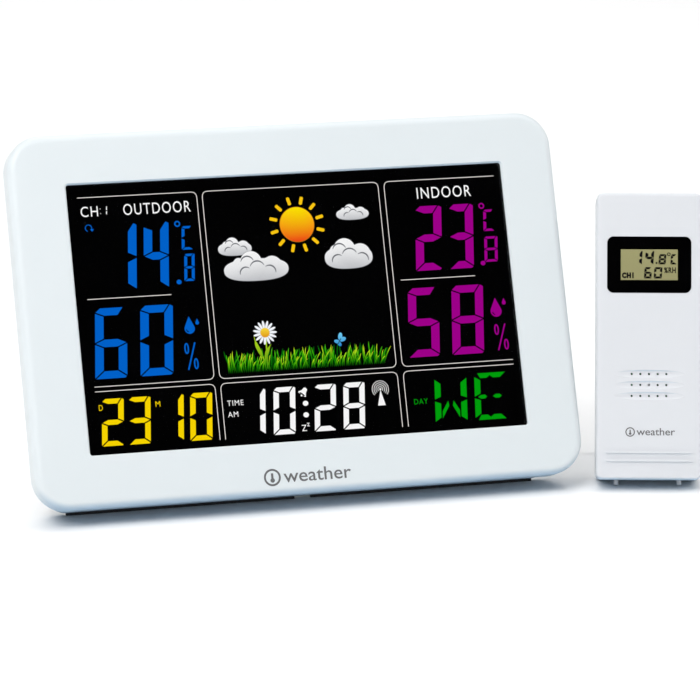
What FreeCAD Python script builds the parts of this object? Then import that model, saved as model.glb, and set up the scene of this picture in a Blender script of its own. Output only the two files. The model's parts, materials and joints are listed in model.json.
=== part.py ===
"""Home weather station: a leaning colour-display console and its cordless outdoor sensor.

Each unit is drawn in its own axes: x to the viewer's right, y from the front face towards
the back, z up the panel from its lower edge. The unit's Placement then leans it back on
its stand, and the sensor's also turns it a little to one side.
"""
import FreeCAD, Part
import math
import operator
import os
from types import SimpleNamespace

import Sketcher

V = FreeCAD.Vector
Constraint = Sketcher.Constraint
doc = FreeCAD.newDocument("WeatherStation")

# Driving dimensions, in millimetres and degrees. The sheet holds them.
DIMENSIONS = {
    # console casing
    "console_w": 200, "console_tall": 132, "console_deep": 23, "console_lean": 21,
    "corner_r": 12.5, "front_edge_r": 3, "shell": 2, "front_deep": 9, "face": 2.4,
    "seam_step": 0.6, "rear_taper": 6, "rear_base_step": 1, "rear_corner_r": 9,
    "tongue": 1.8, "tongue_gap": 0.2, "tongue_wall": 1.2,
    # display and the stack behind it
    "window_w": 160, "window_tall": 95.6, "window_low": 18.2, "window_corner": 1,
    "window_bevel": 0.5, "window_lip": 1.3, "pane_lap": 2.3, "pane_gap": 0.2, "pane_air": 0.3,
    "lcd_lap": 0.5,
    "lcd_thick": 2, "guide_thick": 3, "guide_low": 24, "guide_right": 76,
    "frame_rail": 5.3, "frame_gap": 0.2, "frame_thick": 6, "led_wide": 1.8, "led_tall": 3.6,
    "led_set": 0.2, "led_count": 8, "connector_gap": 2,
    # fixings
    "boss_r": 3, "boss_x": 90, "boss_low": 8, "boss_high": 121, "screw_r": 1.25,
    "screw_hole_r": 1.6, "screw_head_r": 2.5, "screw_head_tall": 1.8, "screw_sink_r": 2.8,
    "screw_sink": 4, "screw_tip": 4, "small_screw_r": 1.3, "small_head_r": 2.4, "small_head": 1.4,
    # main board
    "board_front": 10, "board_thick": 1.6, "board_right": 34, "board_corner": 1.5,
    "standoff_r": 2.4, "small_screw_tip": 4.2, "board_screw_right": 30,
    "driver_x": -18, "driver_up": 60, "driver_w": 14, "driver_tall": 14, "driver_thick": 1.4,
    "clock_x": 14, "clock_up": 48, "clock_w": 10, "clock_tall": 10, "clock_thick": 1.4,
    "memory_x": -46, "memory_up": 66, "memory_w": 5, "memory_tall": 4, "memory_thick": 1.2,
    "supply_x": -50, "supply_up": 28, "supply_w": 6, "supply_tall": 7, "supply_thick": 1.8,
    # push buttons on the back and the light bar on the top
    "button_r": 3.4, "button_gap": 0.2, "button_row": 88, "button_first": -50,
    "button_pitch": 15, "button_proud": 0.8, "button_travel": 0.8, "button_slack": 0.1,
    "button_flange_r": 4.3, "button_flange": 1.4, "button_stem_r": 1.2, "button_edge": 0.4,
    "switch_w": 6, "switch_tall": 3.4, "plunger_r": 1.7, "plunger": 0.2,
    "bar_w": 36, "bar_front": 11.5, "bar_rear": 16.5, "bar_top": 130.8, "bar_corner": 2,
    "bar_flange_top": 125.4, "bar_flange": 1.2, "bar_flange_lap": 2, "bar_stem": 2,
    "bar_flange_deep": 0.9, "bar_switch": 3.5,
    # battery bay with three cells side by side
    "bay_left": 43, "bay_right": 77, "bay_low": 31, "bay_wall": 1.6, "bay_front": 10,
    "cell_r": 5.2, "cell_long": 44.5, "cell_nub_r": 1.9, "cell_nub": 0.8, "cell_depth": 15.5,
    "cell_gap": 0.6,
    "spring_long": 4.7, "spring_r": 3.2, "wire_r": 0.3, "spring_turns": 4, "contact": 0.4,
    "door_lap": 1.2, "door_gap": 0.2, "door_thick": 1.5, "door_corner": 2, "door_seat": 0.2,
    "grip_w": 10, "grip_tall": 2, "grip_deep": 0.5,
    # fold-out stand of the console
    "stand_w": 55, "stand_thick": 3, "stand_long": 69, "hinge_up": 72, "hinge_deep": 21,
    "hinge_pin_r": 1.45, "pin_gap": 0.05, "pin_reach": 3.8, "recess_gap": 1.5, "recess_floor": 19,
    "recess_low": 2.6, "recess_top": 74.5, "recess_wall": 3, "recess_skin": 1.5,
    "stand_pad": 2, "stand_pad_w": 48, "stand_corner": 1, "stop_gap": 0.05,
    # rubber feet under the console's rear lower edge
    "foot_inner": 3, "foot_outer": 86, "foot_front": 21.6, "foot_rear": 22.9, "foot_rise": 0.45,
    # parts on the main board
    "rod_r": 3.6, "rod_left": -60, "rod_right": -12, "rod_depth": 16.2, "rod_up": 108,
    "coil_r": 4.4, "coil_left": -48, "coil_right": -26,
    "jack_x": -70, "jack_up": 25, "jack_w": 10, "jack_rear": 20.5, "jack_collar_r": 4,
    "jack_gap": 0.3, "jack_bore_r": 2.75, "jack_bore_front": 13, "jack_pin_r": 0.65,
    "jack_proud": 0.2, "jack_pin_set": 1, "vent_left": -84, "vent_right": -66, "vent_tall": 1.6,
    "vent_first": 98, "vent_pitch": 4, "vent_count": 5, "slot_round": 0.4,
    "card_left": -72, "card_w": 18, "card_low": 58, "card_high": 76, "card_front": 13,
    "card_thick": 1, "header_w": 2, "card_chip": 8, "card_chip_thick": 1.2,
    "buzzer_x": -62, "buzzer_up": 43, "buzzer_r": 6, "buzzer_rear": 17, "buzzer_hole_r": 1,
    "buzzer_hole": 1, "probe_x": -76, "probe_up": 106, "probe_w": 4, "probe_rear": 13,
    "probe_hole_r": 0.8, "probe_hole": 0.6,
    # outdoor sensor casing
    "sensor_w": 37.7, "sensor_tall": 103.1, "sensor_deep": 21, "sensor_lean": 16.5,
    "sensor_turn": -17.4, "sensor_x": 124.3, "sensor_y": 3, "sensor_corner": 2.2,
    "sensor_edge_r": 1.2, "sensor_shell": 1.6, "sensor_face": 1.8, "sensor_front_deep": 9,
    "sensor_seam": 0.2, "sensor_rear_edge": 1.5,
    "pane_w": 30.3, "pane_tall": 20.4, "pane_up": 77.2, "pane_corner": 2.3, "pane_thick": 0.85,
    "pane_recess": 0.9, "pane_seat": 0.1, "peep_w": 25, "peep_tall": 16,
    "slit_w": 25.5, "slit_tall": 2.9, "slit_deep": 0.6, "slit_first": 30, "slit_pitch": 3.95,
    "slit_rows": 3, "slit_holes": 5, "hole_pitch": 3.1, "hole_r": 0.4, "rib_w": 30.9, "rib_tall": 0.95,
    "rib_low": 6.9, "rib_high": 9.9, "rib_proud": 0.5,
    "peg_x": 11.3, "peg_y": 10, "peg_r": 0.85, "peg_long": 1.7,
    # inside the sensor
    "chip_board_front": 6.5, "chip_board_thick": 1.2, "chip_board_w": 31, "chip_board_low": 22,
    "sensor_bay_w": 21.6, "sensor_bay_low": 11, "sensor_bay_front": 8.9,
    "sensor_bay_wall": 1.2, "sensor_cell_x": 5.4, "sensor_cell_depth": 14.2,
    "sensor_door_lap": 1, "hang_r": 2.2, "hang_up": 96.5,
    "sensor_screw_x": 14, "sensor_screw_up": 96.5, "sensor_screw_sink": 17.5, "sensor_boss_r": 2.2,
    "sensor_screw_tip": 2.8, "lcd_seat": 0.5, "strip_w": 20.5, "strip_tall": 2,
    "package": 1.2, "radio_w": 8, "radio_low": 66, "radio_high": 72, "logic_w": 10, "logic_low": 75,
    "logic_high": 82, "whip_x": -14, "whip_foot": 2, "whip_foot_deep": 2.5, "whip_low": 28,
    "whip_high": 80, "whip_r": 0.6, "whip_out": 1.4, "moist_w": 5, "moist_tall": 6, "moist_deep": 3.3,
    # the sensor's fold-out bail
    "bail_in": 13.4, "bail_leg": 3, "bail_long": 75.6, "bail_up": 78, "bail_deep": 19.4,
    "bail_pin_r": 1.1, "bail_pin_reach": 1.5, "bail_floor": 17.6, "bail_skin": 1.2,
    "bail_gap": 0.4, "bail_bar": 4, "bail_groove_low": 1.6, "bail_groove_top": 80.6,
    # the sensor's controls, above its battery bay
    "knob_w": 2.4, "knob_x": -9, "knob_up": 90, "knob_travel": 6, "knob_proud": 0.6,
    "knob_gap": 0.3, "knob_flange": 1, "send_x": 7.5, "send_r": 2, "send_proud": 0.4,
    "send_flange_r": 2.8, "send_flange": 1, "send_stem_r": 1, "small_switch": 6,
}

NEAR = 1e-4          # how close two measures must be to count as the same


class Size:
    """A length and the sheet formula it comes from; arithmetic keeps the two together."""

    def __init__(self, number, formula):
        self.number = float(number)
        self.formula = formula

    def __neg__(self):
        return Size(-self.number, "(-" + self.formula + ")")


def sized(value):
    """Return value as a Size, whether it is one already or a plain number."""
    if isinstance(value, Size):
        return value
    return Size(value, "(" + format(float(value), ".9f") + ")")


def both_halves(sign, work, swapped=False):
    """Return the method that applies one arithmetic sign to a Size's two halves."""
    def method(self, other):
        first, second = (sized(other), self) if swapped else (self, sized(other))
        formula = "(" + first.formula + " " + sign + " " + second.formula + ")"
        return Size(work(first.number, second.number), formula)
    return method


for sign, word, work in (("+", "add", operator.add), ("-", "sub", operator.sub),
                         ("*", "mul", operator.mul), ("/", "truediv", operator.truediv)):
    setattr(Size, "__" + word + "__", both_halves(sign, work))
    setattr(Size, "__r" + word + "__", both_halves(sign, work, swapped=True))


def make_sheet():
    """Fill the spreadsheet and return its dimensions as named Sizes."""
    sheet = doc.addObject("Spreadsheet::Sheet", "Dims")
    for row, (alias, value) in enumerate(DIMENSIONS.items(), start=1):
        cell = "B" + str(row)
        sheet.set("A" + str(row), alias.replace("_", " "))
        sheet.set(cell, str(value))
        sheet.setAlias(cell, alias)
    doc.recompute()
    return SimpleNamespace(**{a: Size(v, "Dims." + a) for a, v in DIMENSIONS.items()})


d = make_sheet()
PIECES = {}          # node name: (object, unit, place within the unit)


# ---------------------------------------------------------------- solids from primitives

def tie(thing, prop, value):
    """Bind one property to a Size's formula."""
    thing.setExpression(prop, sized(value).formula)


def block(x, y, z):
    """A block that fills three spans, each a (low, high) pair."""
    solid = doc.addObject("Part::Box", "Block")
    for axis, side, (low, high) in zip("xyz", ("Length", "Width", "Height"), (x, y, z)):
        tie(solid, "Placement.Base." + axis, low)
        tie(solid, side, sized(high) - low)
    return solid


def rod(axis, radius, along, centre):
    """A cylinder along an axis, over a span, at the centre given by the other two axes."""
    turn = {"x": FreeCAD.Rotation(V(0, 1, 0), 90), "y": FreeCAD.Rotation(V(1, 0, 0), -90),
            "z": FreeCAD.Rotation()}[axis]
    solid = doc.addObject("Part::Cylinder", "Rod")
    solid.Placement = FreeCAD.Placement(V(), turn)
    tie(solid, "Radius", radius)
    tie(solid, "Height", sized(along[1]) - along[0])
    tie(solid, "Placement.Base." + axis, along[0])
    for other, value in zip("xyz".replace(axis, ""), centre):
        tie(solid, "Placement.Base." + other, value)
    return solid


def join(*solids):
    """One solid from solids that touch or overlap."""
    fused = doc.addObject("Part::MultiFuse", "Join")
    fused.Shapes = list(solids)
    return fused


def separate(*solids):
    """Several separate solids kept as one sub-part."""
    bunch = doc.addObject("Part::Compound", "Bunch")
    bunch.Links = list(solids)
    return bunch


def cut(base, *tools):
    """The base with every tool taken out of it."""
    result = doc.addObject("Part::Cut", "Cut")
    result.Base = base
    result.Tool = tools[0] if len(tools) == 1 else join(*tools)
    return result


def ease(solid, radius, axis):
    """Round the edges of a block that run along one axis."""
    doc.recompute()
    along = "XYZ".index(axis.upper())
    result = doc.addObject("Part::Fillet", "Ease")
    result.Base = solid
    picked = []
    for number, edge in enumerate(solid.Shape.Edges, start=1):
        spread = edge.Vertexes[-1].Point - edge.Vertexes[0].Point
        if abs(abs(spread[along]) - spread.Length) < NEAR:
            picked.append((number, radius.number, radius.number))
    result.Edges = picked
    return result


# ---------------------------------------------------------------- PartDesign helpers

# The way each origin plane faces, compared with the axis that its pads follow.
FACING = {"XZ_Plane": -1, "YZ_Plane": 1, "XY_Plane": 1}


def new_body(name):
    """An empty PartDesign body."""
    return doc.addObject("PartDesign::Body", name)


def sketch_on(body, profiles, start, role):
    """A sketch of closed profiles, parallel to an origin plane and moved along its axis."""
    plane = next(f for f in body.Origin.OriginFeatures if f.Role == role)
    sketch = body.newObject("Sketcher::SketchObject", "Sketch")
    sketch.AttachmentSupport = [(plane, "")]
    sketch.MapMode = "FlatFace"
    tie(sketch, "AttachmentOffset.Base.z", sized(start) * FACING[role])
    for profile in profiles:
        profile(sketch)
    return sketch


def pin_point(sketch, place, spot):
    """Hold one sketch point at a (right, up) pair of Sizes from the origin."""
    for kind, value in zip(("DistanceX", "DistanceY"), spot):
        size = sized(value)
        index = sketch.addConstraint(Constraint(kind, -1, 1, place[0], place[1], size.number))
        sketch.setExpression("Constraints[" + str(index) + "]", size.formula)


def fix_radius(sketch, geometry, radius):
    """Give one arc or circle its radius."""
    index = sketch.addConstraint(Constraint("Radius", geometry, radius.number))
    sketch.setExpression("Constraints[" + str(index) + "]", radius.formula)


def rectangle(across, up, radius):
    """A profile: a rectangle over two spans, with its corners rounded."""
    def draw(sketch):
        left, right, low, high = (sized(v).number for v in (*across, *up))
        r = radius.number
        sides = [((left + r, low), (right - r, low)), ((right, low + r), (right, high - r)),
                 ((right - r, high), (left + r, high)), ((left, high - r), (left, low + r))]
        centres = [(right - r, low + r), (right - r, high - r), (left + r, high - r), (left + r, low + r)]
        shapes = [Part.LineSegment(V(*a), V(*b)) for a, b in sides]
        for quarter, centre in enumerate(centres):
            turn = math.radians(90 * (quarter - 1))
            circle = Part.Circle(V(*centre), V(0, 0, 1), r)
            shapes.append(Part.ArcOfCircle(circle, turn, turn + math.pi / 2))
        ids = sketch.addGeometry(shapes, False)
        lines, arcs = ids[:4], ids[4:]
        for n in range(4):
            sketch.addConstraint(Constraint("Tangent", lines[n], 2, arcs[n], 1))
            sketch.addConstraint(Constraint("Tangent", arcs[n], 2, lines[(n + 1) % 4], 1))
            sketch.addConstraint(Constraint("Vertical" if n % 2 else "Horizontal", lines[n]))
            if n:
                sketch.addConstraint(Constraint("Equal", arcs[0], arcs[n]))
        fix_radius(sketch, arcs[0], radius)
        for line, kind, value in ((3, "DistanceX", across[0]), (1, "DistanceX", across[1]),
                                  (0, "DistanceY", up[0]), (2, "DistanceY", up[1])):
            size = sized(value)
            index = sketch.addConstraint(Constraint(kind, -1, 1, lines[line], 1, size.number))
            sketch.setExpression("Constraints[" + str(index) + "]", size.formula)
    return draw


def circles(radius, centres):
    """A profile: equal circles at (right, up) centres."""
    def draw(sketch):
        for centre in centres:
            spot = V(*(sized(v).number for v in centre))
            ring = sketch.addGeometry(Part.Circle(spot, V(0, 0, 1), radius.number), False)
            fix_radius(sketch, ring, radius)
            pin_point(sketch, (ring, 3), centre)
    return draw


def outline(points):
    """A profile: straight sides through (right, up) points."""
    def draw(sketch):
        spots = [V(*(sized(v).number for v in point)) for point in points]
        ends = spots[1:] + spots[:1]
        ids = sketch.addGeometry([Part.LineSegment(a, b) for a, b in zip(spots, ends)], False)
        for n, line in enumerate(ids):
            sketch.addConstraint(Constraint("Coincident", line, 2, ids[(n + 1) % len(ids)], 1))
            pin_point(sketch, (line, 1), points[n])
    return draw


def extrude(kind, body, span, profiles, role):
    """Pad or pocket profiles over a span along the plane's axis, and check that it worked."""
    before = body.Shape.Volume if body.Tip else 0.0
    sketch = sketch_on(body, profiles, span[0], role)
    feature = body.newObject("PartDesign::" + kind, kind)
    feature.Profile = sketch
    tie(feature, "Length", sized(span[1]) - span[0])
    feature.Reversed = (FACING[role] < 0) == (kind == "Pad")
    doc.recompute()
    change = body.Shape.Volume - before
    if (change > 0) != (kind == "Pad") or abs(change) < NEAR:
        raise RuntimeError(kind + " changed nothing in " + body.Name)
    return feature


def pad(body, span, *profiles, role="XZ_Plane"):
    """Add material over a span."""
    return extrude("Pad", body, span, profiles, role)


def pocket(body, span, *profiles, role="XZ_Plane"):
    """Remove material over a span."""
    return extrude("Pocket", body, span, profiles, role)


def loft(kind, body, *sections):
    """Add or remove a loft between (start, profile) sections."""
    sketches = [sketch_on(body, [profile], start, "XZ_Plane") for start, profile in sections]
    feature = body.newObject("PartDesign::" + kind + "Loft", "Loft")
    feature.Profile = sketches[0]
    feature.Sections = sketches[1:]
    doc.recompute()
    return feature


def dress(kind, body, size, test):
    """Fillet or chamfer the edges of the body's tip that pass a test."""
    base = body.Tip
    picked = ["Edge" + str(n) for n, edge in enumerate(base.Shape.Edges, start=1) if test(edge.BoundBox)]
    feature = body.newObject("PartDesign::" + kind, kind)
    feature.Base = (base, picked)
    tie(feature, "Radius" if kind == "Fillet" else "Size", size)
    doc.recompute()
    return feature


def at_depth(depth, reach=None):
    """An edge test: it lies wholly at one depth, and within reach of the middle if given."""
    def test(box):
        flat = abs(box.YMin - depth) < NEAR and abs(box.YMax - depth) < NEAR
        return flat and (reach is None or max(-box.XMin, box.XMax) < reach)
    return test


def turned(name, points):
    """A body of revolution about the y axis, from (radius, depth) points."""
    body = new_body(name)
    sketch = sketch_on(body, [outline(points)], 0, "XY_Plane")
    feature = body.newObject("PartDesign::Revolution", "Revolution")
    feature.Profile = sketch
    feature.ReferenceAxis = (sketch, ["V_Axis"])
    doc.recompute()
    return body


def piece(name, thing, unit, place=None):
    """Register a finished sub-part under its node name."""
    if thing.TypeId in ("Part::Box", "Part::Cylinder"):
        thing = separate(thing)
    PIECES[name] = (thing, unit, place or FreeCAD.Placement())


def grown(span, by):
    """A span made longer at both ends."""
    return (span[0] - by, span[1] + by)


def middle(width):
    """The span of a width centred on the unit."""
    return (-width / 2, width / 2)


# ---------------------------------------------------------------- how the units stand

def lean_of(angle):
    """The turn that leans a unit back."""
    return FreeCAD.Rotation(V(1, 0, 0), -angle.number)


def console_placement():
    """The console on the table: lean it about its lower edge and lift it onto its feet."""
    lean = math.radians(d.console_lean.number)
    rise = d.foot_rise + d.console_deep * math.sin(lean) - d.rear_base_step * math.cos(lean)
    return FreeCAD.Placement(V(0, 0, rise.number), lean_of(d.console_lean))


def sensor_placement():
    """The sensor on the table: lean, turn, and put its pegs' rear lower edges on it."""
    turn = FreeCAD.Rotation(V(0, 0, 1), d.sensor_turn.number).multiply(lean_of(d.sensor_lean))
    contact = V(0, (d.peg_y + d.peg_r).number, -d.peg_long.number)
    spot = V(d.sensor_x.number, d.sensor_y.number, 0)
    return FreeCAD.Placement(spot - turn.multVec(contact), turn)


UNITS = {"console": console_placement(), "sensor": sensor_placement()}


def stand_pose(unit, deep, up, long, lean):
    """How far a stand opens for its tip to reach the table, and how it then slopes."""
    height = UNITS[unit].multVec(V(0, deep.number, up.number)).z
    slope = math.degrees(math.acos(height / long.number))
    return SimpleNamespace(height=height, slope=slope, opening=slope + lean.number)


CONSOLE_STAND = stand_pose("console", d.hinge_deep, d.hinge_up, d.stand_long, d.console_lean)
SENSOR_STAND = stand_pose("sensor", d.bail_deep, d.bail_up, d.bail_long, d.sensor_lean)


def opened(pose, deep, up):
    """The place of a stand drawn folded: turned open about its hinge line."""
    turn = FreeCAD.Rotation(V(1, 0, 0), pose.opening)
    return FreeCAD.Placement(V(), turn, V(0, deep.number, up.number))


def tip_level(pose, deep, up, offset):
    """The height, in the folded stand's axes, of the table under a point of its tip."""
    slope = math.radians(pose.slope)
    drop = (pose.height + offset.number * math.sin(slope)) / math.cos(slope)
    return (deep + offset, up - drop)


def heel(pose, thick, room):
    """How far the stand reaches past its hinge, so that its heel stops on the recess floor."""
    opening = math.radians(pose.opening)
    return (room - d.stop_gap - thick / 2 * math.cos(opening)) / math.sin(opening)


# ---------------------------------------------------------------- shared small pieces

def bosses():
    """The centres of the four cover screws of the console."""
    return [(side * d.boss_x, up) for side in (-1, 1) for up in (d.boss_low, d.boss_high)]


def board_fixings():
    """The centres of the four screws that hold the main board on the display frame."""
    inset = d.frame_rail / 2
    left = -(d.window_w / 2 + d.lcd_lap + d.frame_gap + inset)
    low = d.window_low - d.lcd_lap - d.frame_gap - inset
    high = d.window_low + d.window_tall + d.lcd_lap + d.frame_gap + inset
    return [(x, up) for x in (left, d.board_screw_right) for up in (low, high)]


def screws(centres, radius, head_r, head_tall, seat, tip):
    """Pan-head screws along y, with their heads standing on the seat."""
    made = []
    for centre in centres:
        shank = rod("y", radius, (tip, seat), centre)
        head = rod("y", head_r, (seat, seat + head_tall), centre)
        made.append(join(shank, head))
    return separate(*made)


def cell(centre, low, nub_up):
    """One small round cell along z, with its nub at the chosen end."""
    high = low + d.cell_long
    can = (low, high - d.cell_nub) if nub_up else (low + d.cell_nub, high)
    nub = (high - d.cell_nub, high) if nub_up else (low, low + d.cell_nub)
    return join(rod("z", d.cell_r, can, centre), rod("z", d.cell_nub_r, nub, centre))


def coil_spring(x, depth, low):
    """One battery spring, as its closed turns joined by a short post, along z on a contact."""
    turns = int(d.spring_turns.number)
    pitch = (d.spring_long - 2 * d.wire_r) / (turns - 1)
    parts = [rod("z", d.wire_r, (low + d.wire_r, low + d.spring_long - d.wire_r), (x - d.spring_r, depth))]
    for turn in range(turns):
        ring = doc.addObject("Part::Torus", "Turn")
        tie(ring, "Radius1", d.spring_r)
        tie(ring, "Radius2", d.wire_r)
        for axis, value in zip("xyz", (x, depth, low + d.wire_r + turn * pitch)):
            tie(ring, "Placement.Base." + axis, value)
        parts.append(ring)
    return join(*parts)


def battery_set(prefix, unit, columns, depth, bay_low, across):
    """Cells, springs and end contacts of one bay; neighbours point opposite ways."""
    bay_high = bay_low + 2 * d.contact + d.spring_long + d.cell_long
    plates = ((bay_low, bay_low + d.contact), (bay_high - d.contact, bay_high))
    made, coils = [], []
    for number, x in enumerate(columns):
        nub_up = number % 2 == 0
        foot = plates[0][1] + d.spring_long if nub_up else plates[0][1]
        made.append(cell((x, depth), foot, nub_up))
        coil_low = plates[0][1] if nub_up else plates[1][0] - d.spring_long
        coils.append(coil_spring(x, depth, coil_low))
    flats = [block(grown(across, -d.stand_corner), (depth - d.cell_r, depth + d.cell_r), span)
             for span in plates]
    piece(prefix + "battery_cells", separate(*made), unit)
    piece(prefix + "battery_springs", separate(*coils), unit)
    piece(prefix + "battery_contacts", separate(*flats), unit)


def door(name, unit, across, up, rear):
    """A flush battery door with a shallow finger groove near its upper end."""
    body = new_body(name + "_body")
    pad(body, (rear - d.door_thick, rear), rectangle(across, up, d.door_corner))
    centre = (across[0] + across[1]) / 2
    groove_high = up[1] - 2 * d.grip_tall
    groove = rectangle((centre - d.grip_w / 2, centre + d.grip_w / 2),
                       (groove_high - d.grip_tall, groove_high), d.grip_deep)
    pocket(body, (rear - d.grip_deep, rear), groove)
    piece(name, body, unit)


# ---------------------------------------------------------------- console

SIDE = d.console_w / 2
WINDOW_TOP = d.window_low + d.window_tall
LCD_FRONT = d.face
LCD_REAR = LCD_FRONT + d.lcd_thick
FRAME_REAR = LCD_FRONT + d.frame_thick
BOARD_REAR = d.board_front + d.board_thick
PLATE_IN = (middle(d.window_w + 2 * d.lcd_lap + 2 * d.frame_gap),
            (d.window_low - d.lcd_lap - d.frame_gap, WINDOW_TOP + d.lcd_lap + d.frame_gap))
BAY_HIGH = d.bay_low + 2 * d.contact + d.spring_long + d.cell_long


def front_cover():
    """The front half of the casing, with the window opening and four screw bosses."""
    body = new_body("front_cover_body")
    pad(body, (0, d.front_deep), rectangle(middle(d.console_w), (0, d.console_tall), d.corner_r))
    dress("Fillet", body, d.front_edge_r, at_depth(0))
    inner = middle(d.console_w - 2 * d.shell)
    pocket(body, (d.face, d.front_deep),
           rectangle(inner, (d.shell, d.console_tall - d.shell), d.corner_r - d.shell))
    opening = (middle(d.window_w), (d.window_low, WINDOW_TOP))
    pocket(body, (0, d.face), rectangle(*opening, d.window_corner))
    dress("Chamfer", body, d.window_bevel, at_depth(0, (d.window_w / 2 + d.window_bevel).number))
    rebate = [grown(span, d.pane_lap + d.pane_gap) for span in opening]
    pocket(body, (d.window_lip, d.face), rectangle(*rebate, d.window_corner))
    pad(body, (d.face, d.front_deep), circles(d.boss_r, bosses()))
    pocket(body, (d.screw_tip, d.front_deep), circles(d.screw_r, bosses()))
    piece("front_cover", body, "console")


def shell_section(inset, taper, base, corner):
    """A rounded section of the rear cover, drawn in from the sides, top and base."""
    across = middle(d.console_w - 2 * taper - 2 * inset)
    return rectangle(across, (base + inset, d.console_tall - taper - inset), corner - inset)


def rear_cover_shell(body):
    """The tapering hollow shell and the tongue that enters the front cover."""
    outer_front = shell_section(0, d.seam_step, d.seam_step, d.corner_r - d.seam_step)
    outer_rear = shell_section(0, d.rear_taper, d.rear_base_step, d.rear_corner_r)
    loft("Additive", body, (d.front_deep, outer_front), (d.console_deep, outer_rear))
    inner_front = shell_section(d.shell, d.seam_step, d.seam_step, d.corner_r - d.seam_step)
    inner_rear = shell_section(d.shell, d.rear_taper, d.rear_base_step, d.rear_corner_r)
    loft("Subtractive", body, (d.front_deep, inner_front), (d.console_deep - d.shell, inner_rear))
    gap = d.shell + d.tongue_gap
    inside = gap + d.tongue_wall
    pad(body, (d.front_deep - d.tongue, d.front_deep),
        shell_section(gap, 0, 0, d.corner_r), shell_section(inside, 0, 0, d.corner_r))


def rear_cover_recesses(body):
    """The stand's recess with its pin holes, and the battery bay with its door seat."""
    recess = middle(d.stand_w + 2 * d.recess_gap)
    skin_deep = d.console_deep - d.recess_skin
    pad(body, (d.recess_floor - d.recess_skin, skin_deep),
        rectangle(grown(recess, d.recess_wall), (d.shell, d.recess_top + d.recess_wall), d.board_corner))
    pocket(body, (d.recess_floor, d.console_deep),
           rectangle(recess, (d.recess_low, d.recess_top), d.stand_corner))
    pins = d.stand_w / 2 + d.pin_reach + d.stop_gap
    pocket(body, (-pins, pins), circles(d.hinge_pin_r + d.pin_gap, [(d.hinge_deep, d.hinge_up)]),
           role="YZ_Plane")
    across, up = (d.bay_left, d.bay_right), (d.bay_low, BAY_HIGH)
    pad(body, (d.bay_front - d.bay_wall / 2, skin_deep),
        rectangle(grown(across, d.bay_wall), grown(up, d.bay_wall), d.board_corner))
    pocket(body, (d.bay_front, d.console_deep), rectangle(across, up, d.stand_corner))
    seat = d.console_deep - d.door_thick - d.door_seat
    pocket(body, (seat, d.console_deep),
           rectangle(grown(across, d.door_lap), grown(up, d.door_lap), d.door_corner))


def button_centres():
    """The row of push buttons on the back."""
    return [(d.button_first + n * d.button_pitch, d.button_row) for n in range(len(BUTTONS))]


def rear_cover_holes(body):
    """Screw bosses and every opening through the back and the top."""
    rear = d.console_deep
    pad(body, (d.front_deep, rear - d.recess_skin), circles(d.boss_r, bosses()))
    pocket(body, (d.front_deep, rear), circles(d.screw_hole_r, bosses()))
    pocket(body, (rear - d.screw_sink, rear), circles(d.screw_sink_r, bosses()))
    wall = (rear - d.shell, rear)
    pocket(body, wall, circles(d.button_r + d.button_gap, button_centres()))
    pocket(body, wall, circles(d.jack_collar_r + d.jack_gap, [(d.jack_x, d.jack_up)]))
    slots = []
    for number in range(int(d.vent_count.number)):
        low = d.vent_first + number * d.vent_pitch
        slot = rectangle((d.vent_left, d.vent_right), (low, low + d.vent_tall), d.vent_tall * d.slot_round)
        slots.append(slot)
    pocket(body, wall, *slots)
    gap = d.jack_gap
    pocket(body, (d.bar_flange_top - d.bar_flange, d.console_tall),
           rectangle(grown(middle(d.bar_w), gap), (d.bar_front - gap, d.bar_rear + gap), d.bar_corner),
           role="XY_Plane")


def rear_cover():
    """The rear half of the casing."""
    body = new_body("rear_cover_body")
    rear_cover_shell(body)
    rear_cover_recesses(body)
    rear_cover_holes(body)
    piece("rear_cover", body, "console")


def display_stack():
    """Window pane, liquid crystal panel, light guide, its lamps, and the frame around them."""
    pane = new_body("pane_body")
    opening = (middle(d.window_w), (d.window_low, WINDOW_TOP))
    pad(pane, (d.window_lip, d.face - d.pane_air),
        rectangle(*(grown(span, d.pane_lap) for span in opening), d.window_corner))
    piece("display_window", pane, "console")
    glass = [grown(span, d.lcd_lap) for span in opening]
    piece("lcd_panel", block(glass[0], (LCD_FRONT, LCD_REAR), glass[1]), "console")
    guide = (LCD_REAR, LCD_REAR + d.guide_thick)
    piece("light_guide", block((glass[0][0], d.guide_right), guide, (d.guide_low, glass[1][1])), "console")
    strip_left = d.guide_right + d.led_wide
    lamps = [block((strip_left, strip_left + d.board_thick / 2), guide, (d.guide_low, glass[1][1]))]
    count = int(d.led_count.number)
    pitch = (glass[1][1] - d.guide_low) / count
    for number in range(count):
        centre = d.guide_low + (number + 0.5) * pitch
        lamps.append(block((d.guide_right, strip_left), grown(guide, -d.led_set),
                           (centre - d.led_tall / 2, centre + d.led_tall / 2)))
    piece("backlight_strip", join(*lamps), "console")
    frame = new_body("frame_body")
    rails = [grown(span, d.frame_rail) for span in PLATE_IN]
    pad(frame, (LCD_FRONT, FRAME_REAR), rectangle(*rails, d.board_corner),
        rectangle(*PLATE_IN, d.window_bevel))
    pad(frame, (FRAME_REAR, d.board_front), circles(d.standoff_r, board_fixings()))
    pocket(frame, (d.small_screw_tip, d.board_front), circles(d.small_screw_r, board_fixings()))
    piece("lcd_frame", frame, "console")
    strip = (d.window_low + d.window_lip, d.guide_low - d.connector_gap)
    piece("lcd_connector", block((glass[0][0] + d.connector_gap, d.board_right - d.connector_gap),
                                 (LCD_REAR, d.board_front), strip), "console")


def chip(name):
    """A flat package on the back of the main board, from the dimensions that bear its name."""
    x, up, wide, tall, thick = (getattr(d, name + part) for part in ("_x", "_up", "_w", "_tall", "_thick"))
    return block((x - wide / 2, x + wide / 2), (BOARD_REAR, BOARD_REAR + thick),
                 (up - tall / 2, up + tall / 2))


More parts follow.
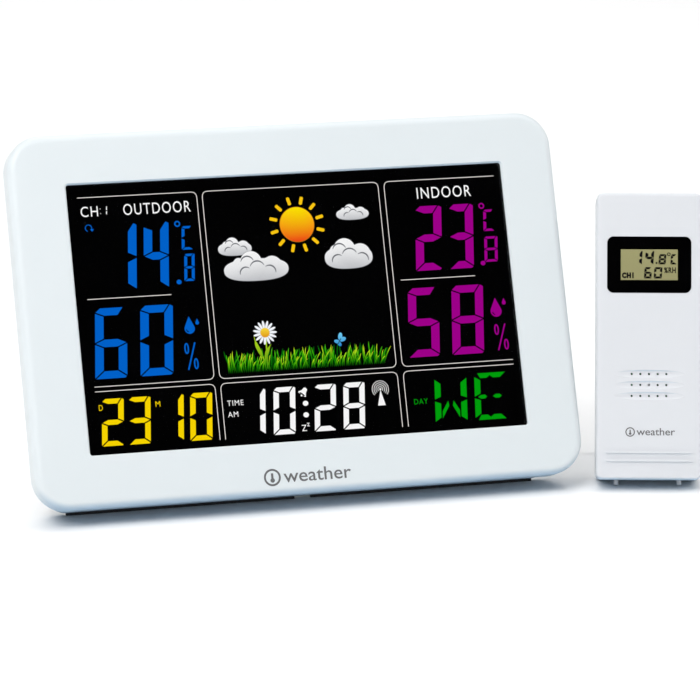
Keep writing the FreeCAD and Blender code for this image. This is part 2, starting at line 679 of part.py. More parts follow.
CHIPS = ("driver", "clock", "memory", "supply")
BUTTONS = ("set_button", "up_button", "down_button", "alert_button", "channel_button", "unit_button")


def main_board():
    """The main board, its chips, switches and screws."""
    board = new_body("board_body")
    rails = [grown(span, d.frame_rail) for span in PLATE_IN]
    pad(board, (d.board_front, BOARD_REAR),
        rectangle((rails[0][0], d.board_right), rails[1], d.board_corner))
    pocket(board, (d.board_front, BOARD_REAR), circles(d.small_screw_r, board_fixings()))
    piece("main_board", board, "console")
    piece("controller_chips", separate(*(chip(name) for name in CHIPS)), "console")
    piece("board_screws", screws(board_fixings(), d.small_screw_r, d.small_head_r, d.small_head,
                                 BOARD_REAR, d.small_screw_tip), "console")
    top = BOARD_REAR + d.switch_tall
    half = d.switch_w / 2
    made = []
    for x, up in button_centres():
        base = block((x - half, x + half), (BOARD_REAR, top), (up - half, up + half))
        made.append(join(base, rod("y", d.plunger_r, (top, top + d.plunger), (x, up))))
    edge = rails[1][1]
    depth = BOARD_REAR + d.bar_switch / 2
    side = block((-half, half), (BOARD_REAR, BOARD_REAR + d.bar_switch), (edge - d.bar_switch, edge))
    made.append(join(side, rod("z", d.button_stem_r, (edge, edge + d.button_slack), (0, depth))))
    piece("tact_switches", separate(*made), "console")


def radio_parts():
    """The clock radio's ferrite rod and coil, and the sensor receiver."""
    centre = (d.rod_depth, d.rod_up)
    piece("clock_antenna_rod", rod("x", d.rod_r, (d.rod_left, d.rod_right), centre), "console")
    span = (d.coil_left, d.coil_right)
    piece("clock_antenna_coil", cut(rod("x", d.coil_r, span, centre), rod("x", d.rod_r, span, centre)),
          "console")
    up = (d.card_low, d.card_high)
    rear = d.card_front + d.card_thick
    header = block((d.card_left, d.card_left + d.header_w), (BOARD_REAR, d.card_front), up)
    card = block((d.card_left, d.card_left + d.card_w), (d.card_front, rear), up)
    half = d.card_chip / 2
    x = d.card_left + (d.card_w + d.header_w) / 2
    level = (d.card_low + d.card_high) / 2
    radio = block((x - half, x + half), (rear, rear + d.card_chip_thick), (level - half, level + half))
    piece("receiver_module", join(header, card, radio), "console")


def board_parts():
    """Buzzer, room climate sensor and power inlet."""
    spot = (d.buzzer_x, d.buzzer_up)
    sounder = rod("y", d.buzzer_r, (BOARD_REAR, d.buzzer_rear), spot)
    mouth = rod("y", d.buzzer_hole_r, (d.buzzer_rear - d.buzzer_hole, d.buzzer_rear), spot)
    piece("buzzer", cut(sounder, mouth), "console")
    half = d.probe_w / 2
    spot = (d.probe_x, d.probe_up)
    probe = block((spot[0] - half, spot[0] + half), (BOARD_REAR, d.probe_rear),
                  (spot[1] - half, spot[1] + half))
    mouth = rod("y", d.probe_hole_r, (d.probe_rear - d.probe_hole, d.probe_rear), spot)
    piece("climate_sensor", cut(probe, mouth), "console")
    half = d.jack_w / 2
    centre = (d.jack_x, d.jack_up)
    rear = d.console_deep + d.jack_proud
    shell = block((d.jack_x - half, d.jack_x + half), (BOARD_REAR, d.jack_rear),
                  (d.jack_up - half, d.jack_up + half))
    collar = rod("y", d.jack_collar_r, (d.jack_rear, rear), centre)
    bore = rod("y", d.jack_bore_r, (d.jack_bore_front, rear), centre)
    pin = rod("y", d.jack_pin_r, (d.jack_bore_front, rear - d.jack_pin_set), centre)
    piece("power_inlet", join(cut(join(shell, collar), bore), pin), "console")


def push_buttons():
    """Six small buttons on the back, each a turned cap, flange and stem."""
    inside = d.console_deep - d.shell - d.button_slack
    top = d.console_deep + d.button_proud
    switch = BOARD_REAR + d.switch_tall + d.plunger
    low = switch + d.button_travel + d.button_slack
    flange = inside - d.button_flange
    for name, (x, up) in zip(BUTTONS, button_centres()):
        points = [(0, low), (d.button_stem_r, low), (d.button_stem_r, flange), (d.button_flange_r, flange),
                  (d.button_flange_r, inside), (d.button_r, inside), (d.button_r, top - d.button_edge),
                  (d.button_r - d.button_edge, top), (0, top)]
        piece(name, turned(name + "_body", points), "console",
              FreeCAD.Placement(V(x.number, 0, up.number), FreeCAD.Rotation()))


def light_bar():
    """The long snooze and light button on the top."""
    deep = (d.bar_front, d.bar_rear)
    flange = (d.bar_flange_top - d.bar_flange, d.bar_flange_top)
    cap = ease(block(middle(d.bar_w), deep, (flange[0], d.bar_top)), d.bar_corner, "z")
    rim = block(grown(middle(d.bar_w), d.bar_flange_lap), grown(deep, d.bar_flange_deep), flange)
    edge = PLATE_IN[1][1] + d.frame_rail
    depth = BOARD_REAR + d.bar_switch / 2
    stem_low = edge + d.button_travel + 2 * d.button_slack
    half = d.bar_stem / 2
    stem = block(middle(2 * d.bar_stem), (depth - half, depth + half), (stem_low, flange[0]))
    piece("snooze_button", join(cap, rim, stem), "console")


def console_stand():
    """The fold-out stand, drawn folded, with its pins, and the rubber pad at its tip."""
    half = d.stand_thick / 2
    deep = (d.hinge_deep - half, d.hinge_deep + half)
    tip = d.hinge_up - d.stand_long
    body = new_body("stand_body")
    past = heel(CONSOLE_STAND, d.stand_thick, d.hinge_deep - d.recess_floor)
    pad(body, deep, rectangle(middle(d.stand_w), (tip + d.stand_pad, d.hinge_up + past), d.stand_corner))
    reach = d.stand_w / 2 + d.pin_reach
    pad(body, (-reach, reach), circles(d.hinge_pin_r, [(d.hinge_deep, d.hinge_up)]), role="YZ_Plane")
    pocket(body, (deep[1] - d.grip_deep, deep[1]),
           rectangle(middle(d.stand_pad_w - d.grip_w), (tip + d.grip_w, tip + 2 * d.grip_w), d.stand_corner))
    place = opened(CONSOLE_STAND, d.hinge_deep, d.hinge_up)
    piece("stand", body, "console", place)
    sole = new_body("stand_pad_body")
    corners = [tip_level(CONSOLE_STAND, d.hinge_deep, d.hinge_up, offset) for offset in (-half, half)]
    upper = tip + d.stand_pad
    profile = outline([*corners, (deep[1], upper), (deep[0], upper)])
    pad(sole, middle(d.stand_pad_w), profile, role="YZ_Plane")
    piece("stand_pad", sole, "console", place)


def rubber_feet():
    """Two rubber strips under the rear lower edge, flat on the table."""
    lean = math.radians(d.console_lean.number)
    rise = UNITS["console"].Base.z
    slope = (d.rear_base_step - d.seam_step) / (d.console_deep - d.front_deep)
    under, over = [], []
    for depth in (d.foot_front, d.foot_rear):
        under.append((depth, (depth * math.sin(lean) - rise) / math.cos(lean)))
        over.append((depth, d.seam_step + slope * (depth - d.front_deep)))
    strips = []
    for side in (-1, 1):
        body = new_body("foot_body")
        span = sorted((side * d.foot_inner, side * d.foot_outer), key=lambda size: size.number)
        pad(body, span, outline([*under, *reversed(over)]), role="YZ_Plane")
        strips.append(body)
    piece("rubber_feet", separate(*strips), "console")


# ---------------------------------------------------------------- outdoor sensor

SENSOR_BAY_HIGH = d.sensor_bay_low + 2 * d.contact + d.spring_long + d.cell_long
CHIP_BOARD_REAR = d.chip_board_front + d.chip_board_thick
SENSOR_INSIDE = d.sensor_deep - d.sensor_face


def sensor_front():
    """The sensor's front cover, with its window seat, vent slits, ribs and hollow back."""
    body = new_body("sensor_front_body")
    pad(body, (0, d.sensor_front_deep),
        rectangle(middle(d.sensor_w), (0, d.sensor_tall), d.sensor_corner))
    dress("Fillet", body, d.sensor_edge_r, at_depth(0))
    pocket(body, (d.sensor_face, d.sensor_front_deep),
           rectangle(middle(d.sensor_w - 2 * d.sensor_shell),
                     (d.sensor_shell, d.sensor_tall - d.sensor_shell), d.window_corner))
    up = (d.pane_up - d.pane_tall / 2, d.pane_up + d.pane_tall / 2)
    pocket(body, (0, d.pane_recess), rectangle(middle(d.pane_w), up, d.pane_corner))
    peep = (d.pane_up - d.peep_tall / 2, d.pane_up + d.peep_tall / 2)
    pocket(body, (d.pane_recess, d.sensor_face), rectangle(middle(d.peep_w), peep, d.window_corner))
    ribs = [rectangle(middle(d.rib_w), (up - d.rib_tall / 2, up + d.rib_tall / 2), d.rib_tall * d.slot_round)
            for up in (d.rib_low, d.rib_high)]
    pad(body, (-d.rib_proud, d.sensor_face / 2), *ribs)
    rows = [d.slit_first + row * d.slit_pitch for row in range(int(d.slit_rows.number))]
    first = -(d.slit_holes - 1) / 2 * d.hole_pitch
    centres = [(first + n * d.hole_pitch, row) for row in rows for n in range(int(d.slit_holes.number))]
    pocket(body, (0, d.sensor_face), circles(d.hole_r, centres))
    for x in (-d.sensor_screw_x, d.sensor_screw_x):
        pad(body, (d.sensor_face, d.sensor_front_deep), circles(d.sensor_boss_r, [(x, d.sensor_screw_up)]))
        pocket(body, (d.sensor_screw_tip, d.sensor_front_deep),
               circles(d.screw_r, [(x, d.sensor_screw_up)]))
    piece("sensor_front_cover", cut(body, *(scoop(row) for row in rows)), "sensor")


def scoop(row):
    """The ring whose outer rim hollows one lens-shaped slit into the sensor's face."""
    deep = d.slit_deep.number
    sweep = ((d.slit_w / 2).number ** 2 + deep ** 2) / (2 * deep)
    minor = ((d.slit_tall / 2).number ** 2 + deep ** 2) / (2 * deep)
    ring = doc.addObject("Part::Torus", "Scoop")
    ring.Radius1 = sweep - minor
    ring.Radius2 = minor
    tie(ring, "Placement.Base.y", d.slit_deep - sweep)
    tie(ring, "Placement.Base.z", row)
    return ring


def sensor_rear():
    """The sensor's rear cover: battery bay, bail groove, controls, hanging hole and pegs."""
    rear = d.sensor_deep
    wide = d.sensor_w - 2 * d.sensor_seam
    body = new_body("sensor_rear_body")
    pad(body, (d.sensor_front_deep, rear),
        rectangle(middle(wide), (d.sensor_seam, d.sensor_tall - d.sensor_seam), d.sensor_corner))
    dress("Fillet", body, d.sensor_rear_edge, at_depth(rear.number))
    inner = d.sensor_seam + d.sensor_shell
    pocket(body, (d.sensor_front_deep, SENSOR_INSIDE),
           rectangle(middle(d.sensor_w - 2 * inner), (inner, d.sensor_tall - inner), d.window_corner))
    outer = d.bail_in + d.bail_leg + d.bail_gap
    slim = SENSOR_INSIDE + d.bail_gap
    pad(body, (d.bail_floor - d.bail_skin, slim),
        rectangle(middle(2 * outer + d.bail_gap), (d.sensor_shell, d.bail_groove_top + d.stand_corner),
                  d.stand_corner))
    bay = (middle(d.sensor_bay_w), (d.sensor_bay_low, SENSOR_BAY_HIGH))
    pad(body, (d.sensor_bay_front - d.bay_wall / 2, slim),
        rectangle(*(grown(span, d.sensor_bay_wall) for span in bay), d.stand_corner))
    pocket(body, (d.sensor_bay_front, rear), rectangle(*bay, d.stand_corner))
    seat = rear - d.door_thick - d.door_seat
    pocket(body, (seat, rear), rectangle(*(grown(span, d.sensor_door_lap) for span in bay), d.door_corner))
    low, top = d.bail_groove_low, d.bail_groove_top
    for side in (-1, 1):
        span = sorted((side * (d.bail_in - d.bail_gap), side * outer), key=lambda size: size.number)
        pocket(body, (d.bail_floor, rear), rectangle(span, (low, top), d.grip_deep))
    bar_top = d.bail_up - d.bail_long + d.bail_bar + d.bail_gap
    pocket(body, (d.bail_floor, rear), rectangle(middle(2 * outer), (low, bar_top), d.grip_deep))
    pins = d.bail_in + d.bail_leg + d.bail_pin_reach + d.stop_gap
    for span in ((-pins, -outer + d.bail_gap), (outer - d.bail_gap, pins)):
        pocket(body, span, circles(d.bail_pin_r + d.pin_gap, [(d.bail_deep, d.bail_up)]), role="YZ_Plane")
    sensor_rear_fittings(body, rear)
    piece("sensor_rear_cover", body, "sensor")


def sensor_rear_fittings(body, rear):
    """Screw bosses, control openings, the hanging hole and the two pegs it stands on."""
    wall = (SENSOR_INSIDE, rear)
    fixings = [(side * d.sensor_screw_x, d.sensor_screw_up) for side in (-1, 1)]
    pad(body, (d.sensor_front_deep, SENSOR_INSIDE), circles(d.sensor_boss_r, fixings))
    pocket(body, (d.sensor_front_deep, rear), circles(d.screw_hole_r, fixings))
    pocket(body, (d.sensor_screw_sink, rear), circles(d.sensor_boss_r, fixings))
    slot = (d.knob_x - d.knob_w / 2 - d.knob_gap, d.knob_x + d.knob_travel + d.knob_w / 2 + d.knob_gap)
    high = (d.knob_up - d.knob_w / 2 - d.knob_gap, d.knob_up + d.knob_w / 2 + d.knob_gap)
    pocket(body, wall, rectangle(slot, high, d.grip_deep))
    pocket(body, wall, circles(d.send_r + d.button_gap, [(d.send_x, d.knob_up)]))
    pocket(body, wall, circles(d.hang_r, [(0, d.hang_up)]))
    pegs = [(side * d.peg_x, d.peg_y) for side in (-1, 1)]
    pad(body, (-d.peg_long, d.sensor_shell), circles(d.peg_r, pegs), role="XY_Plane")


def sensor_display():
    """The sensor's glossy pane, its small liquid crystal panel and the strip behind it."""
    pane = new_body("sensor_pane_body")
    up = (d.pane_up - d.pane_tall / 2, d.pane_up + d.pane_tall / 2)
    pane_shape = rectangle(grown(middle(d.pane_w), -d.pane_seat), grown(up, -d.pane_seat),
                           d.pane_corner - d.pane_seat)
    pad(pane, (d.pane_recess - d.pane_thick, d.pane_recess), pane_shape)
    piece("sensor_window", pane, "sensor")
    peep = (d.pane_up - d.peep_tall / 2, d.pane_up + d.peep_tall / 2)
    rear = d.pane_recess + d.lcd_thick
    piece("sensor_lcd", block(grown(middle(d.peep_w), -d.lcd_seat), (d.pane_recess, rear),
                              grown(peep, -d.lcd_seat)), "sensor")
    low = peep[0] + 2 * d.lcd_seat
    piece("sensor_lcd_connector", block(middle(d.strip_w), (rear, d.chip_board_front),
                                        (low, low + d.strip_tall)), "sensor")


def sensor_board():
    """The sensor's board with its chips, antenna, humidity probe and switches."""
    front, rear = d.chip_board_front, CHIP_BOARD_REAR
    high = d.sensor_screw_up - d.sensor_boss_r - d.door_gap
    piece("sensor_board", block(middle(d.chip_board_w), (front, rear), (d.chip_board_low, high)), "sensor")
    radio = block(middle(d.radio_w), (rear, rear + d.package), (d.radio_low, d.radio_high))
    logic = block(middle(d.logic_w), (rear, rear + d.package), (d.logic_low, d.logic_high))
    piece("sensor_chips", separate(radio, logic), "sensor")
    half = d.whip_foot / 2
    foot = block((d.whip_x - half, d.whip_x + half), (rear, rear + d.whip_foot_deep),
                 (d.whip_low - d.whip_foot, d.whip_low))
    wire = rod("z", d.whip_r, (d.whip_low, d.whip_high), (d.whip_x, rear + d.whip_out))
    piece("sensor_antenna", join(foot, wire), "sensor")
    level = d.slit_first + d.slit_pitch
    half = d.moist_tall / 2
    piece("humidity_probe", block(middle(d.moist_w), (front - d.moist_deep, front),
                                  (level - half, level + half)), "sensor")
    half = d.small_switch / 2
    up = (d.knob_up - half, d.knob_up + half)
    knob_front = SENSOR_INSIDE - d.knob_flange - 2 * d.button_slack
    slider = block((d.knob_x - half, d.knob_x + d.knob_travel + half), (rear, knob_front - d.stop_gap), up)
    tact = block((d.send_x - half, d.send_x + half), (rear, rear + d.small_switch), up)
    piece("sensor_switches", separate(slider, tact), "sensor")


def sensor_controls():
    """The channel slider, at channel one, and the small send button."""
    inside = SENSOR_INSIDE - d.button_slack
    half = d.knob_w / 2
    front = inside - d.knob_flange
    grip = block((d.knob_x - half, d.knob_x + half), (front, d.sensor_deep + d.knob_proud),
                 (d.knob_up - half, d.knob_up + half))
    flange = block((d.knob_x - 2 * half, d.knob_x + 2 * half), (front, inside),
                   (d.knob_up - 2 * half, d.knob_up + 2 * half))
    piece("channel_slider", join(grip, flange), "sensor")
    top = d.sensor_deep + d.send_proud
    low = CHIP_BOARD_REAR + d.small_switch + d.button_travel + d.button_slack
    flange_front = inside - d.send_flange
    points = [(0, low), (d.send_stem_r, low), (d.send_stem_r, flange_front),
              (d.send_flange_r, flange_front), (d.send_flange_r, inside), (d.send_r, inside),
              (d.send_r, top - d.button_edge), (d.send_r - d.button_edge, top), (0, top)]
    piece("send_button", turned("send_button_body", points), "sensor",
          FreeCAD.Placement(V(d.send_x.number, 0, d.knob_up.number), FreeCAD.Rotation()))


def sensor_stand():
    """The sensor's bail, drawn folded: two legs, a bar across their tips and two pins."""
    half = d.bail_leg / 2
    deep = (d.bail_deep - half, d.bail_deep + half)
    outer = d.bail_in + d.bail_leg
    tip = d.bail_up - d.bail_long
    past = heel(SENSOR_STAND, d.bail_leg, d.bail_deep - d.bail_floor)
    top = d.bail_up + past
    corners = [tip_level(SENSOR_STAND, d.bail_deep, d.bail_up, offset) for offset in (-half, half)]
    side = outline([*corners, (deep[1], top), (deep[0], top)])
    body = new_body("bail_body")
    pad(body, (-outer, outer), side, role="YZ_Plane")
    gap = (tip + d.bail_bar, top + d.stand_corner)
    pocket(body, deep, rectangle(middle(2 * d.bail_in), gap, d.grip_deep))
    reach = outer + d.bail_pin_reach
    for span in ((-reach, -d.bail_in), (d.bail_in, reach)):
        pad(body, span, circles(d.bail_pin_r, [(d.bail_deep, d.bail_up)]), role="YZ_Plane")
    piece("sensor_stand", body, "sensor", opened(SENSOR_STAND, d.bail_deep, d.bail_up))


# ---------------------------------------------------------------- build and write

def build_console():
    """Every sub-part of the console."""
    front_cover()
    rear_cover()
    display_stack()
    main_board()
    radio_parts()
    board_parts()
    push_buttons()
    light_bar()
    middle_x = (d.bay_left + d.bay_right) / 2
    pitch = 2 * d.cell_r + d.cell_gap
    battery_set("", "console", [middle_x - pitch, middle_x, middle_x + pitch], d.cell_depth,
                d.bay_low, (d.bay_left, d.bay_right))
    lap = d.door_lap - d.door_gap
    door("battery_door", "console", grown((d.bay_left, d.bay_right), lap),
         grown((d.bay_low, BAY_HIGH), lap), d.console_deep)
    console_stand()
    rubber_feet()
    piece("cover_screws", screws(bosses(), d.screw_r, d.screw_head_r, d.screw_head_tall,
                                 d.console_deep - d.screw_sink, d.screw_tip), "console")


def build_sensor():
    """Every sub-part of the outdoor sensor."""
    sensor_front()
    sensor_rear()
    sensor_display()
    sensor_board()
    sensor_controls()
    sensor_stand()
    battery_set("sensor_", "sensor", [-d.sensor_cell_x, d.sensor_cell_x], d.sensor_cell_depth,
                d.sensor_bay_low, middle(d.sensor_bay_w))
    lap = d.sensor_door_lap - d.door_gap
    door("sensor_battery_door", "sensor", grown(middle(d.sensor_bay_w), lap),
         grown((d.sensor_bay_low, SENSOR_BAY_HIGH), lap), d.sensor_deep)
    fixings = [(side * d.sensor_screw_x, d.sensor_screw_up) for side in (-1, 1)]
    piece("sensor_cover_screws", screws(fixings, d.screw_r, d.sensor_boss_r - d.button_gap,
                                        d.small_head, d.sensor_screw_sink, d.sensor_screw_tip), "sensor")


def place_all():
    """Stand both units on the table, with the origin under the middle of the whole."""
    for name, (thing, unit, place) in PIECES.items():
        thing.Label = name
        thing.Placement = UNITS[unit].multiply(place)
    doc.recompute()
    box = FreeCAD.BoundBox()
    for thing, _, _ in PIECES.values():
        box.add(thing.Shape.optimalBoundingBox(False))
    shift = FreeCAD.Placement(V(-box.Center.x, -box.Center.y, 0), FreeCAD.Rotation())
    for thing, _, _ in PIECES.values():
        thing.Placement = shift.multiply(thing.Placement)
    doc.recompute()
    return shift.Base


def check_and_write():
    """Stop on any failed feature or bad shape, then write one STEP file per sub-part."""
    for thing in doc.Objects:
        if any(word in thing.State for word in ("Invalid", "Error")):
            raise RuntimeError("failed feature: " + thing.Name + " " + thing.Label)
    os.makedirs("parts", exist_ok=True)
    for name, (thing, _, _) in PIECES.items():
        shape = thing.Shape
        if shape.isNull() or not shape.isValid() or shape.Volume <= 0:
            raise RuntimeError("bad shape: " + name)
        shape.exportStep("parts/" + name + ".step")


build_console()
build_sensor()
moved = place_all()
check_and_write()
print("pieces", len(PIECES), "origin moved by", moved)
print("stands open by", CONSOLE_STAND.opening, SENSOR_STAND.opening)
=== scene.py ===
"""Looks of a home weather station: its case finishes, lit display, marks and studio."""

import json
import math

import bmesh
import bpy
from bpy.props import FloatProperty, FloatVectorProperty, IntProperty, PointerProperty
from mathutils import Matrix, Vector


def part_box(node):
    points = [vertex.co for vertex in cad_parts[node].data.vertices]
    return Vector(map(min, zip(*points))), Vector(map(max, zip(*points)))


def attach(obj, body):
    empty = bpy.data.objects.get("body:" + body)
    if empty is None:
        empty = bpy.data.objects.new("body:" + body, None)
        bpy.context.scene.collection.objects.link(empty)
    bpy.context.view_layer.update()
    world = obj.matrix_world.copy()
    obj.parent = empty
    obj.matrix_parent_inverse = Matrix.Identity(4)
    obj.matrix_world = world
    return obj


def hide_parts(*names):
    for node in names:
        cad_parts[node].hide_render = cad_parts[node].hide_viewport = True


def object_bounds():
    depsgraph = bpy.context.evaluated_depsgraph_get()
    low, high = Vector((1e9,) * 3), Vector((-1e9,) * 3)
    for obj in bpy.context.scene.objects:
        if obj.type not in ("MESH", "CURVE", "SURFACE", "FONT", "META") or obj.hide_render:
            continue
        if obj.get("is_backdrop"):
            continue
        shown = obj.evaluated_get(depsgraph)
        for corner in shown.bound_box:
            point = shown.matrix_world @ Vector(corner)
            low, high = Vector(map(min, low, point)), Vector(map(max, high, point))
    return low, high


bl_info = {
    "name": "Home weather station",
    "version": (1, 0, 0),
    "blender": (4, 5, 0),
    "location": "3D View > Sidebar > Weather",
    "description": "Finishes a leaning weather display and its cordless outdoor sensor",
    "category": "Object",
}

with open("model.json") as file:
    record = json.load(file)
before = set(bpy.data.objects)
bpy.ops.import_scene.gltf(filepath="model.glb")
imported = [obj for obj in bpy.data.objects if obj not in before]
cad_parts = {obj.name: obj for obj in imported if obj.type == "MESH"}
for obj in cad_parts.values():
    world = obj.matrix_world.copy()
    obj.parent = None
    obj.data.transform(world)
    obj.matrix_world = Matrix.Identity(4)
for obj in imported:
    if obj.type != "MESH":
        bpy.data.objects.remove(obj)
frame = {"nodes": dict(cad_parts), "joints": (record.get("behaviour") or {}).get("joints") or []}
CAD_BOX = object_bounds()
NODES = frame["nodes"]
JOINTS = {joint["name"]: joint for joint in frame["joints"]}
MM = 0.001
INK = "ink"                        # the colour attribute that printed and lit shapes carry
BUTTONS = ("set_button", "up_button", "down_button", "alert_button", "channel_button", "unit_button")


# ---------------------------------------------------------------- the two units' own axes

def middle_of(node):
    """The middle of a node's box."""
    low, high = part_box(node)
    return (low + high) / 2


class Unit:
    """A unit's axes: right and up its panel, and back from it, about its window's middle."""

    def __init__(self, right, back, window):
        self.right = Vector(right).normalized()
        self.back = Vector(back).normalized()
        self.up = self.right.cross(self.back)
        self.centre = middle_of(window)

    def point(self, right, up, back=0.0):
        """A place in the row's frame, from millimetres along the unit's axes."""
        return self.centre + (self.right * right + self.up * up + self.back * back) * MM

    def matrix(self, right, up, back=0.0):
        """The placing of a flat drawing in millimetres: X right, Y up, Z out of the face."""
        axes = Matrix((self.right * MM, self.up * MM, -self.back * MM)).transposed()
        return Matrix.Translation(self.point(right, up, back)) @ axes.to_4x4()


CONSOLE = Unit((1, 0, 0), JOINTS["battery_door_lift"]["axis"], "display_window")
SENSOR = Unit(JOINTS["channel_slide"]["axis"], JOINTS["sensor_battery_door_lift"]["axis"], "sensor_window")

# Millimetres, as are all the lengths that are drawn.
WINDOW = (160.0, 95.6, 0.8)        # the display window's width, height and pane thickness
SMALL_PANE = 0.85                  # thickness of the sensor's pane
WINDOW_LOW = 18.2                  # from the console's lower edge to the window
WINDOW_LIP = 1.3                   # from the console's face back to its pane
PANE_AIR = 0.28                    # room for the drawing between the pane and the panel
DRAWING_SHIFT = 0.6                # how far right of the window's middle the display is set
SMALL_WINDOW_UP = 77.2             # from the sensor's lower edge to its window's middle


# ---------------------------------------------------------------- colours

def linear(red, green, blue):
    """A screen colour, 0 to 255 a channel, as Blender's linear one."""
    values = []
    for part in (red, green, blue):
        share = part / 255
        values.append(share / 12.92 if share <= 0.04045 else ((share + 0.055) / 1.055) ** 2.4)
    return (*values, 1.0)


WHITE = linear(250, 250, 250)
LINE_GREY = linear(244, 239, 235)
BLUE = linear(0, 98, 204)
MAGENTA = linear(158, 0, 138)
YELLOW = linear(248, 214, 0)
GREEN = linear(0, 160, 12)
BLACK = (0.0, 0.0, 0.0, 1.0)
LCD_KHAKI = linear(152, 149, 106)
LCD_DARK = linear(8, 6, 8)
MARK_GREY = linear(98, 98, 100)


def mix(first, second, share):
    """A colour between two others."""
    return tuple(a + (b - a) * share for a, b in zip(first, second))


def upright_fade(low, high, stops):
    """A colour that changes with height: stops are (share, colour) from low to high."""
    def colour(_, up):
        share = min(max((up - low) / (high - low), 0.0), 1.0)
        for (start, first), (end, second) in zip(stops, stops[1:]):
            if share <= end:
                return mix(first, second, (share - start) / (end - start))
        return stops[-1][1]
    return colour


# ---------------------------------------------------------------- flat shapes

def inset(points, by):
    """A convex outline with every side moved inwards."""
    area = sum(a[0] * b[1] - b[0] * a[1] for a, b in zip(points, points[1:] + points[:1]))
    way = 1 if area > 0 else -1
    sides = []
    for a, b in zip(points, points[1:] + points[:1]):
        run = Vector((b[0] - a[0], b[1] - a[1])).normalized()
        normal = Vector((-run.y, run.x)) * way
        sides.append((Vector(a) + normal * by, run))
    moved = []
    for (start, run), (other, turn) in zip(sides[-1:] + sides[:-1], sides):
        cross = run.x * turn.y - run.y * turn.x
        gap = other - start
        along = (gap.x * turn.y - gap.y * turn.x) / cross
        moved.append(tuple(start + run * along))
    return moved


def ellipse(centre, across, up, turn=0.0, count=28):
    """The outline of an ellipse given its half sizes."""
    outline = []
    for step in range(count):
        angle = 2 * math.pi * step / count
        x, y = across * math.cos(angle), up * math.sin(angle)
        outline.append((centre[0] + x * math.cos(turn) - y * math.sin(turn),
                        centre[1] + x * math.sin(turn) + y * math.cos(turn)))
    return outline


def arc(centre, radius, start, end, count=10):
    """Points along an arc, with angles in degrees."""
    angles = [math.radians(start + (end - start) * step / count) for step in range(count + 1)]
    return [(centre[0] + radius * math.cos(a), centre[1] + radius * math.sin(a)) for a in angles]


def rounded_path(points, radius):
    """An open path whose inner corners are rounded."""
    path = [Vector(points[0])]
    for before, corner, after in zip(points, points[1:], points[2:]):
        corner = Vector(corner)
        start = corner + (Vector(before) - corner).normalized() * radius
        end = corner + (Vector(after) - corner).normalized() * radius
        for step in range(9):
            share = step / 8
            path.append(start * (1 - share) ** 2 + corner * 2 * share * (1 - share) + end * share ** 2)
    path.append(Vector(points[-1]))
    return path


FULLNESS = 2.5                     # how square a cloud's rounded body is; 2 is an ellipse
CLOUD_POINTS = 120


def star_outline(centre, body, discs):
    """The outer edge of a rounded body, given by its half sizes, and the discs that overlap it."""
    outline = []
    for step in range(CLOUD_POINTS):
        angle = 2 * math.pi * step / CLOUD_POINTS
        way = Vector((math.cos(angle), math.sin(angle)))
        reach = (abs(way.x / body[0]) ** FULLNESS + abs(way.y / body[1]) ** FULLNESS) ** (-1 / FULLNESS)
        for x, y, radius in discs:
            offset = Vector((x - centre[0], y - centre[1]))
            along = offset.dot(way)
            room = radius ** 2 - (offset.length_squared - along ** 2)
            if room >= 0:
                reach = max(reach, along + math.sqrt(room))
        outline.append((centre[0] + way.x * reach, centre[1] + way.y * reach))
    return outline


class Artwork:
    """Thin coloured shapes, drawn in millimetres and gathered into one mesh."""

    def __init__(self, thick=0.02):
        self.mesh = bmesh.new()
        self.ink = self.mesh.verts.layers.float_color.new(INK)
        self.thick = thick

    def _corner(self, x, y, z, colour):
        vertex = self.mesh.verts.new((x, y, z))
        vertex[self.ink] = colour(x, y) if callable(colour) else colour
        return vertex

    def polygon(self, points, colour, layer=0):
        """A closed flat prism; each layer lies in front of the last."""
        rise = layer * self.thick
        front = [self._corner(x, y, rise + self.thick, colour) for x, y in points]
        back = [self._corner(x, y, rise, colour) for x, y in points]
        faces = [self.mesh.faces.new(front), self.mesh.faces.new(back[::-1])]
        for n in range(len(points)):
            after = (n + 1) % len(points)
            faces.append(self.mesh.faces.new((front[n], back[n], back[after], front[after])))
        bmesh.ops.recalc_face_normals(self.mesh, faces=faces)

    def ribbon(self, path, width, colour, layer=0, closed=False, taper=None):
        """A band of one width along a path; taper gives its share of width at each point."""
        path = [Vector(p) for p in path]
        rise = layer * self.thick
        rings = []
        for n, spot in enumerate(path):
            before = path[n - 1] if n or closed else spot
            after = path[(n + 1) % len(path)] if n < len(path) - 1 or closed else spot
            run = (after - before).normalized()
            half = width / 2 * (taper(n / (len(path) - 1)) if taper else 1.0)
            side = Vector((-run.y, run.x)) * half
            ends = (spot + side, spot - side)
            rings.append([self._corner(p.x, p.y, z, colour) for z in (rise + self.thick, rise) for p in ends])
        faces = []
        pairs = list(zip(rings, rings[1:])) + ([(rings[-1], rings[0])] if closed else [])
        for a, b in pairs:
            for one, two in ((0, 1), (1, 3), (3, 2), (2, 0)):
                faces.append(self.mesh.faces.new((a[one], b[one], b[two], a[two])))
        if not closed:
            for end in (rings[0], rings[-1]):
                faces.append(self.mesh.faces.new((end[0], end[1], end[3], end[2])))
        bmesh.ops.recalc_face_normals(self.mesh, faces=faces)

    def add(self, mesh, matrix, colour):
        """Another mesh, placed on the drawing and given one colour."""
        start = len(self.mesh.verts)
        self.mesh.from_mesh(mesh)
        self.mesh.verts.ensure_lookup_table()
        for vertex in self.mesh.verts[start:]:
            vertex.co = matrix @ vertex.co
            vertex[self.ink] = colour

    def finish(self, name, placing, material, body):
        """The drawing as an object, placed in the row's frame and riding on a body."""
        data = bpy.data.meshes.new(name)
        self.mesh.to_mesh(data)
        self.mesh.free()
        return settle(name, data, placing, material, body)


